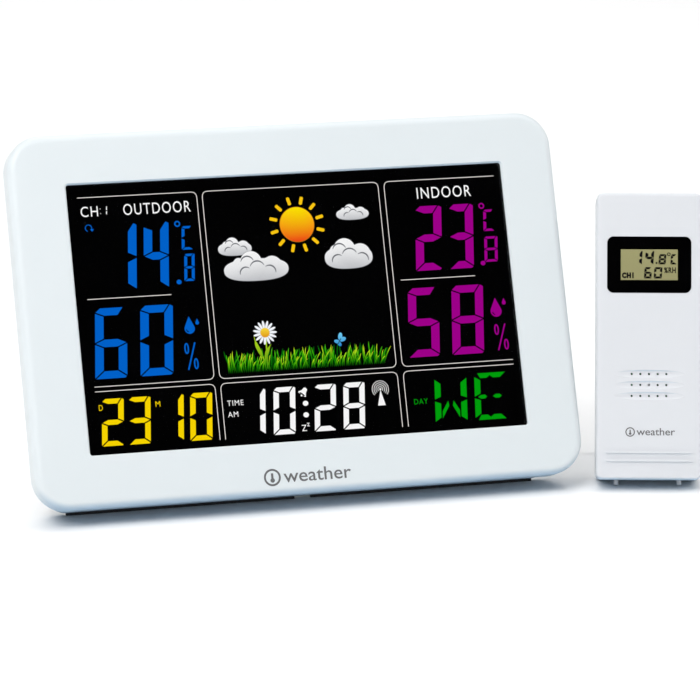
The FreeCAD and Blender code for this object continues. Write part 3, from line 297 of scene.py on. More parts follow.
def settle(name, data, placing, material, body):
    """Put a mesh in its place, give it its material, and let it ride on its body."""
    data.transform(placing)
    data.materials.clear()
    data.materials.append(material)
    thing = bpy.data.objects.new(name, data)
    bpy.context.scene.collection.objects.link(thing)
    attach(thing, body)
    return thing


# ---------------------------------------------------------------- lettering and figures

SEGMENTS = {"0": "abcdef", "1": "bc", "2": "abged", "3": "abgcd", "4": "fgbc", "5": "afgcd",
            "6": "afgedc", "8": "abcdefg", "C": "adef", "E": "adef"}


def segment_outlines(width, tall, bars):
    """The seven segments of a figure, by letter, that meet along shared lines."""
    side, flat = bars                              # widths of the upright and the level bars
    half = tall / 2
    cut, peak, foot = 0.55, 0.4, 0.25              # how far the corners are cut, as shares of a bar
    inner_top, inner_low = tall - flat, flat
    return {
        "a": [(cut * side, tall), (0, tall - cut * flat), (side, inner_top), (width - side, inner_top),
              (width - peak * side, tall)],
        "b": [(width, tall - foot * flat), (width - peak * side, tall), (width - side, inner_top),
              (width - side, half + flat / 2), (width, half)],
        "c": [(width, half), (width - side, half - flat / 2), (width - side, inner_low),
              (width, foot * flat)],
        "d": [(width - foot * side, 0), (width, foot * flat), (width - side, inner_low), (side, inner_low),
              (0, 0)],
        "e": [(0, 0), (side, inner_low), (side, half - flat / 2), (0, half)],
        "f": [(0, half), (side, half + flat / 2), (side, inner_top), (0, tall - cut * flat)],
        "g": [(0, half), (side, half - flat / 2), (width - side, half - flat / 2), (width, half),
              (width - side, half + flat / 2), (side, half + flat / 2)],
    }


def figure(art, sign, left, right, low, high, bars, colour, gap=0.42, slope=5.0):
    """One leaning segment figure between four edges; the lean is inside its width."""
    lean = math.tan(math.radians(slope))
    width = right - left - (high - low) * lean
    shapes = segment_outlines(width, high - low, bars)
    for letter in SEGMENTS[sign]:
        points = inset(shapes[letter], gap / 2)
        art.polygon([(left + x + y * lean, low + y) for x, y in points], colour)


def lettering(art, text, left, right, low, high, colour, weight=0.0, spacing=1.0):
    """A word drawn to fill a box."""
    curve = bpy.data.curves.new("word", "FONT")
    curve.body = text
    curve.offset = weight
    curve.space_character = spacing
    curve.resolution_u = 4
    curve.extrude = 0.5
    maker = bpy.data.objects.new("word", curve)
    bpy.context.scene.collection.objects.link(maker)
    bpy.context.view_layer.update()
    data = bpy.data.meshes.new_from_object(maker.evaluated_get(bpy.context.evaluated_depsgraph_get()))
    bpy.data.objects.remove(maker)
    xs = [v.co.x for v in data.vertices]
    ys = [v.co.y for v in data.vertices]
    wide, tall = max(xs) - min(xs), max(ys) - min(ys)
    scale = Matrix.Diagonal(((right - left) / wide, (high - low) / tall, art.thick, 1))
    shift = Matrix.Translation((left, low, art.thick / 2))
    art.add(data, shift @ scale @ Matrix.Translation((-min(xs), -min(ys), 0)), colour)
    bpy.data.meshes.remove(data)


def drop(art, centre, tall, colour):
    """A water drop with a dark glint inside its lower left."""
    outline = [(centre[0], centre[1] + tall / 2)]
    low = centre[1] - tall / 2 + tall * 0.3
    outline += [(centre[0] + x, y) for x, y in arc((0, low), tall * 0.3, 25, -205, 18)]
    art.polygon(outline, colour)
    if tall > 4:
        glint = arc((centre[0], low), tall * 0.2, 190, 250, 5)
        art.ribbon(glint, tall * 0.05, BLACK, layer=1)


def ring(art, centre, radius, width, colour):
    """A thin circle."""
    art.ribbon(ellipse(centre, radius, radius), width, colour, closed=True)


def percent(art, centre, across, tall, colour):
    """A percent sign: two narrow rings and a stroke."""
    x, y = centre
    for side in (-1, 1):
        loop = ellipse((x + side * across * 0.32, y - side * tall * 0.29), across * 0.13, tall * 0.18)
        art.ribbon(loop, 0.5, colour, closed=True)
    art.ribbon([(x - across * 0.32, y - tall / 2), (x + across * 0.36, y + tall / 2)], 0.5, colour)


# ---------------------------------------------------------------- node materials

def new_material(name):
    """A material with its nodes cleared to one Principled shader; returns both."""
    material = bpy.data.materials.new(name)
    material.use_nodes = True
    shader = material.node_tree.nodes["Principled BSDF"]
    return material, shader


def link(material, source, target):
    """Join two sockets."""
    material.node_tree.links.new(source, target)


def add_node(material, kind, **settings):
    """Add a shader node and set its inputs by name."""
    node = material.node_tree.nodes.new(kind)
    for name, value in settings.items():
        node.inputs[name.replace("_", " ")].default_value = value
    return node


def noise_on(material, scale, detail=3.0, rough=0.5):
    """Noise in the row's own coordinates."""
    place = add_node(material, "ShaderNodeTexCoord")
    noise = add_node(material, "ShaderNodeTexNoise", Scale=scale, Detail=detail, Roughness=rough)
    link(material, place.outputs["Object"], noise.inputs["Vector"])
    return noise


def ramp_of(material, source, stops):
    """A colour ramp over a value; stops are (place, colour)."""
    ramp = add_node(material, "ShaderNodeValToRGB")
    elements = ramp.color_ramp.elements
    while len(elements) < len(stops):
        elements.new(1.0)
    for element, (place, colour) in zip(elements, stops):
        element.position = place
        element.color = colour
    link(material, source, ramp.inputs["Fac"])
    return ramp


def rough_range(material, shader, source, low, high):
    """Let a value move the shader's roughness between two limits."""
    span = add_node(material, "ShaderNodeMapRange", To_Min=low, To_Max=high)
    link(material, source, span.inputs["Value"])
    link(material, span.outputs["Result"], shader.inputs["Roughness"])


def bump_from(material, shader, source, depth, strength=1.0):
    """A bump of a real depth, in metres, from a height value."""
    bump = add_node(material, "ShaderNodeBump", Strength=strength, Distance=depth)
    link(material, source, bump.inputs["Height"])
    link(material, bump.outputs["Normal"], shader.inputs["Normal"])


GRAIN_DEPTH = 0.00002              # of the moulds' spark-eroded grain, in metres


def moulded(name, colour, roughness=0.4, grain=2600.0, vary=0.03):
    """Moulded plastic: a fine spark-eroded grain, slow drifts of shade, and satin gloss."""
    material, shader = new_material(name)
    slow = noise_on(material, 14.0, 2.0)
    light = mix(colour, (1, 1, 1, 1), vary)
    dark = mix(colour, BLACK, vary)
    shade = ramp_of(material, slow.outputs["Fac"], [(0.3, dark), (0.7, light)])
    link(material, shade.outputs["Color"], shader.inputs["Base Color"])
    fine = noise_on(material, grain, 4.0, 0.6)
    rough_range(material, shader, fine.outputs["Fac"], roughness - 0.06, roughness + 0.06)
    bump_from(material, shader, fine.outputs["Fac"], GRAIN_DEPTH, 0.35)
    shader.inputs["IOR"].default_value = 1.5
    shader.inputs["Specular IOR Level"].default_value = 0.45
    return material


def white_case(name, colour, roughness, unit):
    """The case's white plastic, cooler and duller on the edges that face down: painted shade."""
    material = moulded(name, colour, roughness, vary=0.012)
    shader = material.node_tree.nodes["Principled BSDF"]
    plain = shader.inputs["Base Color"].links[0].from_socket
    surface = add_node(material, "ShaderNodeNewGeometry")
    down = add_node(material, "ShaderNodeVectorMath")
    down.operation = "DOT_PRODUCT"
    down.inputs[1].default_value = -unit.up
    link(material, surface.outputs["Normal"], down.inputs[0])
    share = add_node(material, "ShaderNodeMapRange", From_Min=0.2, From_Max=1.0)
    share.interpolation_type = "SMOOTHSTEP"
    link(material, down.outputs["Value"], share.inputs["Value"])
    # Painted shade: faces turned down are tinted a darker blue-grey, standing in for the shade under the
    # case.
    painted_shade_tint = add_node(material, "ShaderNodeMixRGB", Color2=linear(160, 184, 204))
    link(material, share.outputs["Result"], painted_shade_tint.inputs["Fac"])
    link(material, plain, painted_shade_tint.inputs["Color1"])
    link(material, painted_shade_tint.outputs["Color"], shader.inputs["Base Color"])
    shader.inputs["Subsurface Weight"].default_value = 0.08
    shader.inputs["Subsurface Scale"].default_value = 0.002
    shader.inputs["Subsurface Radius"].default_value = (1.0, 0.9, 0.85)
    return material


def plated(name, colour):
    """Plated metal with faint drawn streaks."""
    material, shader = new_material(name)
    shader.inputs["Metallic"].default_value = 1.0
    streaks = noise_on(material, 900.0, 5.0)
    shade = ramp_of(material, streaks.outputs["Fac"], [(0.3, mix(colour, BLACK, 0.25)), (0.7, colour)])
    link(material, shade.outputs["Color"], shader.inputs["Base Color"])
    rough_range(material, shader, streaks.outputs["Fac"], 0.2, 0.4)
    bump_from(material, shader, streaks.outputs["Fac"], 0.00001, 0.3)
    return material


def soft_rubber(name):
    """Dark rubber with a dusty, open grain; on the long foot strips its dark is partly painted shadow."""
    material, shader = new_material(name)
    dust = noise_on(material, 700.0, 6.0, 0.7)
    shade = ramp_of(material, dust.outputs["Fac"], [(0.35, linear(26, 26, 28)), (0.75, linear(58, 58, 60))])
    link(material, shade.outputs["Color"], shader.inputs["Base Color"])
    rough_range(material, shader, dust.outputs["Fac"], 0.7, 0.95)
    bump_from(material, shader, dust.outputs["Fac"], 0.00005, 0.5)
    return material


def clear_pane(name):
    """A clear acrylic pane with the faintest polish marks."""
    material, shader = new_material(name)
    marks = noise_on(material, 60.0, 4.0)
    rough_range(material, shader, marks.outputs["Fac"], 0.0, 0.03)
    shader.inputs["Base Color"].default_value = (1, 1, 1, 1)
    shader.inputs["Transmission Weight"].default_value = 1.0
    shader.inputs["IOR"].default_value = 1.3
    return material


def black_glass(name, roughness=0.08):
    """Black glass or hard coated plastic, with slight waviness in its gloss."""
    material, shader = new_material(name)
    waves = noise_on(material, 45.0, 2.0)
    tone = ramp_of(material, waves.outputs["Fac"], [(0.3, BLACK), (0.7, (0.0008, 0.0008, 0.001, 1))])
    link(material, tone.outputs["Color"], shader.inputs["Base Color"])
    rough_range(material, shader, waves.outputs["Fac"], roughness, roughness + 0.05)
    shader.inputs["Specular IOR Level"].default_value = 0.3
    return material


def lit_ink(name, glow):
    """A backlit printed colour, a little uneven as its light guide makes it."""
    material, shader = new_material(name)
    ink = material.node_tree.nodes.new("ShaderNodeAttribute")
    ink.attribute_name = INK
    uneven = noise_on(material, 28.0, 3.0)
    level = add_node(material, "ShaderNodeMapRange", To_Min=glow * 0.94, To_Max=glow * 1.04)
    link(material, uneven.outputs["Fac"], level.inputs["Value"])
    shader.inputs["Base Color"].default_value = (0, 0, 0, 1)
    shader.inputs["Roughness"].default_value = 0.5
    shader.inputs["Specular IOR Level"].default_value = 0.0
    link(material, ink.outputs["Color"], shader.inputs["Emission Color"])
    link(material, level.outputs["Result"], shader.inputs["Emission Strength"])
    return material


def printed_ink(name, roughness=0.45):
    """A colour printed or moulded on a surface and lit only from outside; the screws' crosses use it for
    painted shade.
    """
    material, shader = new_material(name)
    ink = material.node_tree.nodes.new("ShaderNodeAttribute")
    ink.attribute_name = INK
    speck = noise_on(material, 3000.0, 2.0)
    link(material, ink.outputs["Color"], shader.inputs["Base Color"])
    rough_range(material, shader, speck.outputs["Fac"], roughness - 0.05, roughness + 0.1)
    bump_from(material, shader, speck.outputs["Fac"], 0.00001, 0.2)
    return material


def circuit_board(name):
    """Green solder resist over copper tracks."""
    material, shader = new_material(name)
    place = add_node(material, "ShaderNodeTexCoord")
    tracks = add_node(material, "ShaderNodeTexBrick", Scale=160.0, Mortar_Size=0.03)
    link(material, place.outputs["Object"], tracks.inputs["Vector"])
    shade = ramp_of(material, tracks.outputs["Fac"], [(0.4, linear(12, 92, 48)), (0.6, linear(30, 128, 66))])
    link(material, shade.outputs["Color"], shader.inputs["Base Color"])
    rough_range(material, shader, tracks.outputs["Fac"], 0.25, 0.4)
    bump_from(material, shader, tracks.outputs["Fac"], 0.00003, 0.4)
    return material


def cell_wrap(name, unit):
    """A dry cell's printed sleeve: dark, with a copper coloured band at each end."""
    material, shader = new_material(name)
    place = add_node(material, "ShaderNodeTexCoord")
    along = add_node(material, "ShaderNodeVectorMath")
    along.operation = "DOT_PRODUCT"
    along.inputs[1].default_value = unit.up
    link(material, place.outputs["Object"], along.inputs[0])
    low, high = unit_span(unit, "sensor_battery_cells" if unit is SENSOR else "battery_cells")
    share = add_node(material, "ShaderNodeMapRange", From_Min=low, From_Max=high)
    link(material, along.outputs["Value"], share.inputs["Value"])
    copper = linear(196, 132, 70)
    dark = linear(34, 36, 40)
    bands = ramp_of(material, share.outputs["Result"], [
        (0.0, copper), (0.22, copper), (0.24, dark), (0.76, dark), (0.78, copper), (1.0, copper)])
    link(material, bands.outputs["Color"], shader.inputs["Base Color"])
    fine = noise_on(material, 500.0, 3.0)
    rough_range(material, shader, fine.outputs["Fac"], 0.2, 0.34)
    shader.inputs["Metallic"].default_value = 0.35
    return material


def unit_span(unit, node):
    """How far a node reaches along its unit's upward axis, in metres."""
    reach = [vertex.co.dot(unit.up) for vertex in NODES[node].data.vertices]
    return min(reach), max(reach)


# ---------------------------------------------------------------- geometry node trees

def new_tree(name, inputs):
    """An empty geometry node tree with named inputs; inputs are (name, socket kind)."""
    tree = bpy.data.node_groups.new(name, "GeometryNodeTree")
    for label, kind in inputs:
        tree.interface.new_socket(label, in_out="INPUT", socket_type=kind)
    tree.interface.new_socket("Geometry", in_out="OUTPUT", socket_type="NodeSocketGeometry")
    return tree, tree.nodes.new("NodeGroupInput"), tree.nodes.new("NodeGroupOutput")


def ring_tree():
    """Copies of one shape set evenly round a circle, each turned to face outwards."""
    tree, given, result = new_tree("Ring of copies", [
        ("Shape", "NodeSocketObject"), ("Count", "NodeSocketInt"), ("Radius", "NodeSocketFloat"),
        ("Material", "NodeSocketMaterial")])
    circle = tree.nodes.new("GeometryNodeMeshCircle")
    shape = tree.nodes.new("GeometryNodeObjectInfo")
    place = tree.nodes.new("GeometryNodeInputPosition")
    face = tree.nodes.new("FunctionNodeAlignRotationToVector")
    copies = tree.nodes.new("GeometryNodeInstanceOnPoints")
    join = tree.links.new
    join(given.outputs["Count"], circle.inputs["Vertices"])
    join(given.outputs["Radius"], circle.inputs["Radius"])
    join(given.outputs["Shape"], shape.inputs["Object"])
    face.axis = "X"
    face.pivot_axis = "Z"
    join(place.outputs["Position"], face.inputs["Vector"])
    join(circle.outputs["Mesh"], copies.inputs["Points"])
    join(shape.outputs["Geometry"], copies.inputs["Instance"])
    join(face.outputs["Rotation"], copies.inputs["Rotation"])
    close_tree(tree, given, copies.outputs["Instances"], result)
    return tree


def scatter_tree():
    """Copies of one shape along a level line, each with its own height, tilt and place."""
    tree, given, result = new_tree("Scattered along a line", [
        ("Shape", "NodeSocketObject"), ("Count", "NodeSocketInt"), ("Length", "NodeSocketFloat"),
        ("Tilt", "NodeSocketFloat"), ("Smallest", "NodeSocketFloat"), ("Seed", "NodeSocketInt"),
        ("Material", "NodeSocketMaterial")])
    join = tree.links.new
    line = tree.nodes.new("GeometryNodeMeshLine")
    line.mode = "END_POINTS"
    end = tree.nodes.new("ShaderNodeCombineXYZ")
    join(given.outputs["Length"], end.inputs["X"])
    join(given.outputs["Count"], line.inputs["Count"])
    join(end.outputs["Vector"], line.inputs["Offset"])
    shape = tree.nodes.new("GeometryNodeObjectInfo")
    join(given.outputs["Shape"], shape.inputs["Object"])
    back_tilt = tree.nodes.new("ShaderNodeMath")
    back_tilt.operation = "MULTIPLY"
    back_tilt.inputs[1].default_value = -1.0
    join(given.outputs["Tilt"], back_tilt.inputs[0])
    tilt = random_value(tree, given, back_tilt.outputs["Value"], given.outputs["Tilt"], 1)
    turn = tree.nodes.new("ShaderNodeCombineXYZ")
    join(tilt, turn.inputs["Z"])
    size = random_value(tree, given, given.outputs["Smallest"], None, 2)
    scale = tree.nodes.new("ShaderNodeCombineXYZ")
    scale.inputs["X"].default_value = 1.0
    scale.inputs["Z"].default_value = 1.0
    join(size, scale.inputs["Y"])
    copies = tree.nodes.new("GeometryNodeInstanceOnPoints")
    join(line.outputs["Mesh"], copies.inputs["Points"])
    join(shape.outputs["Geometry"], copies.inputs["Instance"])
    join(turn.outputs["Vector"], copies.inputs["Rotation"])
    join(scale.outputs["Vector"], copies.inputs["Scale"])
    close_tree(tree, given, copies.outputs["Instances"], result)
    return tree


def random_value(tree, given, low, high, shift):
    """A random number per point between two sockets, from the tree's seed."""
    seed = tree.nodes.new("ShaderNodeMath")
    seed.inputs[1].default_value = shift
    tree.links.new(given.outputs["Seed"], seed.inputs[0])
    value = tree.nodes.new("FunctionNodeRandomValue")
    value.data_type = "FLOAT"
    floats = [socket for socket in value.inputs if socket.type == "VALUE"]
    tree.links.new(low, floats[0])
    if high is None:
        floats[1].default_value = 1.0
    else:
        tree.links.new(high, floats[1])
    tree.links.new(seed.outputs["Value"], value.inputs["Seed"])
    return next(socket for socket in value.outputs if socket.type == "VALUE")


def close_tree(tree, given, copies, result):
    """End a tree in real geometry with its material set."""
    real = tree.nodes.new("GeometryNodeRealizeInstances")
    dress = tree.nodes.new("GeometryNodeSetMaterial")
    tree.links.new(copies, real.inputs["Geometry"])
    tree.links.new(real.outputs["Geometry"], dress.inputs["Geometry"])
    tree.links.new(given.outputs["Material"], dress.inputs["Material"])
    tree.links.new(dress.outputs["Geometry"], result.inputs["Geometry"])


def grown_by(tree, name, values):
    """Run a tree with its inputs set and return the plain mesh it makes."""
    maker = bpy.data.objects.new(name, bpy.data.meshes.new(name))
    bpy.context.scene.collection.objects.link(maker)
    modifier = maker.modifiers.new("Repeat", "NODES")
    modifier.node_group = tree
    for item in tree.interface.items_tree:
        if item.in_out == "INPUT":
            modifier[item.identifier] = values[item.name]
    bpy.context.view_layer.update()
    data = bpy.data.meshes.new_from_object(maker.evaluated_get(bpy.context.evaluated_depsgraph_get()))
    bpy.data.objects.remove(maker)
    return data


def pattern_shape(name, art):
    """A source shape for a tree to copy; it is removed once used."""
    data = bpy.data.meshes.new(name)
    art.mesh.to_mesh(data)
    art.mesh.free()
    shape = bpy.data.objects.new(name, data)
    bpy.context.scene.collection.objects.link(shape)
    return shape


# ---------------------------------------------------------------- where things are drawn

def on_screen(layer=0.0):
    """The display's drawing: origin at its window's upper left corner, behind the pane."""
    return CONSOLE.matrix(DRAWING_SHIFT - WINDOW[0] / 2, WINDOW[1] / 2, WINDOW[2] / 2 + PANE_AIR - layer)


def on_face():
    """The console's front face: origin at the middle of its lower edge."""
    return CONSOLE.matrix(0, -WINDOW[1] / 2 - WINDOW_LOW, -(WINDOW[2] / 2 + WINDOW_LIP))


def on_sensor():
    """The sensor's front face: origin at the middle of its lower edge."""
    return SENSOR.matrix(0, -SMALL_WINDOW_UP, -(SMALL_PANE / 2 + 0.05))


# ---------------------------------------------------------------- settings

class WeatherLook(bpy.types.PropertyGroup):
    """Colours, lights and meadow settings that a user would change."""

    case_colour: FloatVectorProperty(
        name="Case colour", description="White of both cases", subtype="COLOR", size=4,
        min=0.0, max=1.0, default=linear(217, 224, 227))
    case_roughness: FloatProperty(
        name="Case roughness", description="How matt the cases are", default=0.38, min=0.0, max=1.0)
    glow: FloatProperty(
        name="Display glow", description="Brightness of the lit figures", default=1.0, min=0.0)
    blades: IntProperty(
        name="Grass blades", description="Blades in each row of the meadow", default=82, min=10)
    seed: IntProperty(name="Meadow seed", description="Fixes how the grass grows", default=7)
    sky_light: FloatProperty(
        name="Sky light", description="Strength of the even light all round", default=1.55, min=0.0)
    key_power: FloatProperty(
        name="Key light", description="Power of the large soft light, in watts", default=14.0, min=0.0)
    fill_power: FloatProperty(
        name="Fill light", description="Power of the light from the other side", default=5.0, min=0.0)


class WeatherView(bpy.types.PropertyGroup):
    """The camera's place and lens."""

    azimuth: FloatProperty(
        name="Azimuth", description="Camera's turn to the left of straight on", subtype="ANGLE",
        unit="ROTATION", default=math.radians(16.14))
    elevation: FloatProperty(
        name="Elevation", description="Camera's height as an angle", subtype="ANGLE",
        unit="ROTATION", default=math.radians(13.01))
    distance: FloatProperty(
        name="Distance", description="From the camera to the point it looks at", subtype="DISTANCE",
        unit="LENGTH", default=1.4278, min=0.1)
    lens: FloatProperty(name="Lens", description="Focal length, in millimetres", default=205.7, min=20.0)
    aim: FloatVectorProperty(
        name="Aim", description="What it looks at, from the middle of the object's base",
        subtype="TRANSLATION", unit="LENGTH", default=(-0.0072, 0.0008, 0.0518))


# ---------------------------------------------------------------- cases and carried-over parts

def dress_nodes(names, material):
    """Give carried-over parts a material."""
    for name in names:
        data = NODES[name].data
        data.materials.clear()
        data.materials.append(material)


class WEATHER_OT_cases(bpy.types.Operator):
    """Finish the cases, stands, doors and buttons in white moulded plastic"""

    bl_idname = "weather.cases"
    bl_label = "Cases"

    def execute(self, context):
        look = context.scene.weather_look
        colour = tuple(look.case_colour)
        case = white_case("White case plastic", colour, look.case_roughness, CONSOLE)
        dress_nodes(["front_cover", "rear_cover", "stand", "battery_door"], case)
        outdoor = white_case("Sensor case plastic", mix(colour, linear(216, 217, 222), 0.7),
                             look.case_roughness + 0.05, SENSOR)
        dress_nodes(["sensor_front_cover", "sensor_rear_cover", "sensor_stand", "sensor_battery_door"],
                    outdoor)
        keys = moulded("Button plastic", linear(214, 219, 224), 0.34, grain=1800.0)
        dress_nodes([*BUTTONS, "snooze_button", "send_button"], keys)
        dress_nodes(["channel_slider"], moulded("Slider plastic", linear(34, 34, 36), 0.45))
        # Partly painted shadow: the long dark foot strips stand in for the shadow line under the console's
        # lower rear edge.
        dress_nodes(["rubber_feet", "stand_pad"], soft_rubber("Foot rubber with painted shadow line"))
        return {"FINISHED"}


class WEATHER_OT_insides(bpy.types.Operator):
    """Finish the panes, boards, cells and fixings"""

    bl_idname = "weather.insides"
    bl_label = "Panes and insides"

    def execute(self, context):
        dress_nodes(["display_window"], clear_pane("Display pane"))
        dress_nodes(["lcd_panel", "sensor_lcd"], black_glass("Liquid crystal glass", 0.04))
        dress_nodes(["sensor_window"], black_glass("Sensor pane", 0.05))
        dress_nodes(["main_board", "receiver_module", "backlight_strip", "sensor_board"],
                    circuit_board("Circuit board"))
        dress_nodes(["controller_chips", "sensor_chips", "buzzer", "tact_switches", "sensor_switches",
                     "power_inlet"], moulded("Black package", linear(30, 30, 32), 0.42))
        dress_nodes(["lcd_frame", "light_guide", "climate_sensor", "humidity_probe"],
                    moulded("Inner white plastic", linear(225, 227, 228), 0.5))
        dress_nodes(["lcd_connector", "sensor_lcd_connector"],
                    moulded("Contact silicone", linear(150, 96, 90), 0.6))
        dress_nodes(["board_screws", "cover_screws", "sensor_cover_screws", "battery_springs",
                     "sensor_battery_springs", "battery_contacts", "sensor_battery_contacts"],
                    plated("Nickel plating", linear(196, 194, 190)))
        dress_nodes(["clock_antenna_coil", "sensor_antenna"], plated("Enamelled copper", linear(184, 96, 48)))
        dress_nodes(["clock_antenna_rod"], moulded("Ferrite", linear(46, 44, 44), 0.6, vary=0.08))
        dress_nodes(["battery_cells"], cell_wrap("Console cell sleeve", CONSOLE))
        dress_nodes(["sensor_battery_cells"], cell_wrap("Sensor cell sleeve", SENSOR))
        return {"FINISHED"}


# ---------------------------------------------------------------- the lit display

LARGE_BARS = (3.5, 3.1)
SMALL_BARS = (2.4, 2.2)
TINY_BARS = (1.35, 1.15)


class WEATHER_OT_display_lines(bpy.types.Operator):
    """Draw the thin rounded boxes that divide the display"""

    bl_idname = "weather.display_lines"
    bl_label = "Display boxes"

    def execute(self, context):
        art = Artwork()
        wide, radius = 0.23, 2.2
        top, low, second, foot = -4.5, -71.5, -73.2, -93.0
        left, right = 3.5, 156.9
        columns = (46.5, 48.5, 113.3, 115.5)
        paths = [
            [(left, top), (columns[0], top), (columns[0], low), (left, low)],
            [(right, top), (columns[3], top), (columns[3], low), (right, low)],
            [(left, second), (columns[0], second), (columns[0], foot)],
            [(columns[1], foot), (columns[1], second), (columns[2], second), (columns[2], foot)],
            [(right, second), (columns[3], second), (columns[3], foot)],
            [(3.8, -40.6), (34.0, -40.6)], [(118.2, -40.4), (146.0, -40.4)],
        ]
        for path in paths:
            art.ribbon(rounded_path(path, radius), wide, LINE_GREY)
        centre = (columns[1] + columns[2]) / 2
        loop = rounded_path([(centre, top), (columns[2], top), (columns[2], low), (columns[1], low),
                             (columns[1], top), (centre - 0.1, top)], radius)
        art.ribbon(loop, wide, LINE_GREY, closed=True)
        art.finish("display_boxes", on_screen(), bpy.data.materials["Lit ink"], "console")
        return {"FINISHED"}


class WEATHER_OT_display_figures(bpy.types.Operator):
    """Draw the segment figures: temperatures, humidities, date and time"""

    bl_idname = "weather.display_figures"
    bl_label = "Display figures"

    def execute(self, context):
        art = Artwork()
        rows = [
            ("14", [(12.3, 24.1), (24.1, 35.7)], (14.2, 38.9), LARGE_BARS, BLUE),
            ("60", [(3.8, 17.9), (20.0, 34.4)], (43.75, 69.05), LARGE_BARS, BLUE),
            ("23", [(124.0, 136.3), (136.6, 148.2)], (13.9, 37.7), LARGE_BARS, MAGENTA),
            ("58", [(118.0, 132.2), (134.3, 148.8)], (43.4, 68.7), LARGE_BARS, MAGENTA),
            ("23", [(4.0, 13.7), (13.6, 23.3)], (75.7, 92.7), SMALL_BARS, YELLOW),
            ("10", [(25.8, 35.2), (35.6, 45.5)], (75.7, 92.9), SMALL_BARS, YELLOW),
            ("10", [(55.3, 64.8), (65.8, 75.7)], (75.7, 92.9), SMALL_BARS, WHITE),
            ("28", [(80.8, 90.6), (91.4, 101.2)], (75.7, 92.7), SMALL_BARS, WHITE),
            ("C", [(39.1, 44.2)], (16.4, 25.1), TINY_BARS, BLUE),
            ("8", [(39.0, 43.9)], (26.3, 36.3), TINY_BARS, BLUE),
            ("C", [(150.8, 155.9)], (16.5, 24.6), TINY_BARS, MAGENTA),
            ("8", [(150.0, 156.1)], (26.3, 35.8), TINY_BARS, MAGENTA),
        ]
        for signs, cells, (top, low), bars, colour in rows:
            gap = 0.3 if bars is TINY_BARS else 0.45
            for sign, (left, right) in zip(signs, cells):
                figure(art, sign, left, right, -low, -top, bars, colour, gap)
        for centre, radius, colour in (((37.2, -36.3), 0.9, BLUE), ((149.5, -36.0), 0.9, MAGENTA),
                                       ((78.65, -82.2), 1.0, WHITE), ((78.45, -86.3), 1.0, WHITE)):
            art.polygon(ellipse(centre, radius, radius * 0.92), colour)
        ring(art, (38.5, -15.6), 0.85, 0.5, BLUE)
        ring(art, (151.1, -15.2), 0.85, 0.5, MAGENTA)
        self.weekday(art)
        art.finish("display_figures", on_screen(), bpy.data.materials["Lit ink"], "console")
        return {"FINISHED"}

    def weekday(self, art):
        """The two letters of the day, in fourteen segment style."""
        lean = math.tan(math.radians(4.0))

        def bar(points):
            art.polygon([(x + (y + 92.5) * lean, y) for x, y in points], GREEN)

        for left, right in ((125.7, 127.9), (135.4, 137.6)):
            inner = right if left < 130 else left
            outer = left if left < 130 else right
            bar([(outer, -84.0), (outer, -77.0), (inner, -78.6), (inner, -83.2)])
            bar([(outer, -92.0), (outer, -84.8), (inner, -85.6), (inner, -90.6)])
        bar([(128.4, -91.0), (128.4, -88.4), (130.6, -84.8), (130.9, -86.6)])
        bar([(134.9, -91.0), (134.9, -88.4), (132.6, -84.8), (132.3, -86.6)])
        left, right, mid = 140.6, 152.2, 146.4
        for high, way in ((-75.7, -1), (-92.5, 1)):
            inner = high + 1.8 * way
            bar([(left + 1.2, high), (right, high), (right - 2.0, inner), (mid + 1.2, inner),
                 (mid, high + 0.9 * way), (mid - 1.2, inner), (left + 2.2, inner)])
        bar([(left, -84.0), (left, -77.0), (left + 2.2, -78.2), (left + 2.2, -83.0)])
        bar([(left, -91.6), (left, -84.6), (left + 2.2, -85.4), (left + 2.2, -90.2)])
        for start in (left + 1.2, mid + 0.9):
            bar([(start, -84.2), (start + 1.2, -83.5), (start + 2.6, -83.5), (start + 3.4, -84.2),
                 (start + 2.6, -84.9), (start + 1.2, -84.9)])


class WEATHER_OT_display_words(bpy.types.Operator):
    """Draw the display's plain labels"""

    bl_idname = "weather.display_words"
    bl_label = "Display labels"

    def execute(self, context):
        art = Artwork()
        words = [
            ("CH", 4.3, 10.5, 7.7, 11.4, WHITE), ("OUTDOOR", 19.6, 43.9, 7.5, 11.5, WHITE),
            ("INDOOR", 127.4, 147.7, 7.3, 11.4, WHITE), ("TIME", 50.3, 56.2, 79.4, 81.3, WHITE),
            ("AM", 50.2, 53.9, 83.4, 85.3, WHITE), ("Z", 76.4, 78.2, 89.8, 92.0, WHITE),
            ("z", 78.4, 79.4, 89.2, 90.4, WHITE), ("DAY", 118.5, 123.6, 83.4, 85.3, GREEN),
            ("D", 4.35, 5.75, 77.9, 79.9, YELLOW), ("M", 24.6, 26.3, 77.9, 79.8, YELLOW),
        ]
        for text, left, right, top, low, colour in words:
            lettering(art, text, left, right, -low, -top, colour, spacing=1.16)
        figure(art, "1", 10.6, 14.0, -11.2, -7.8, (0.5, 0.5), WHITE, gap=0.16)
        for up in (-8.8, -10.4):
            art.polygon(ellipse((11.4, up), 0.15, 0.15, count=8), WHITE)
        art.finish("display_labels", on_screen(), bpy.data.materials["Lit ink"], "console")
        return {"FINISHED"}


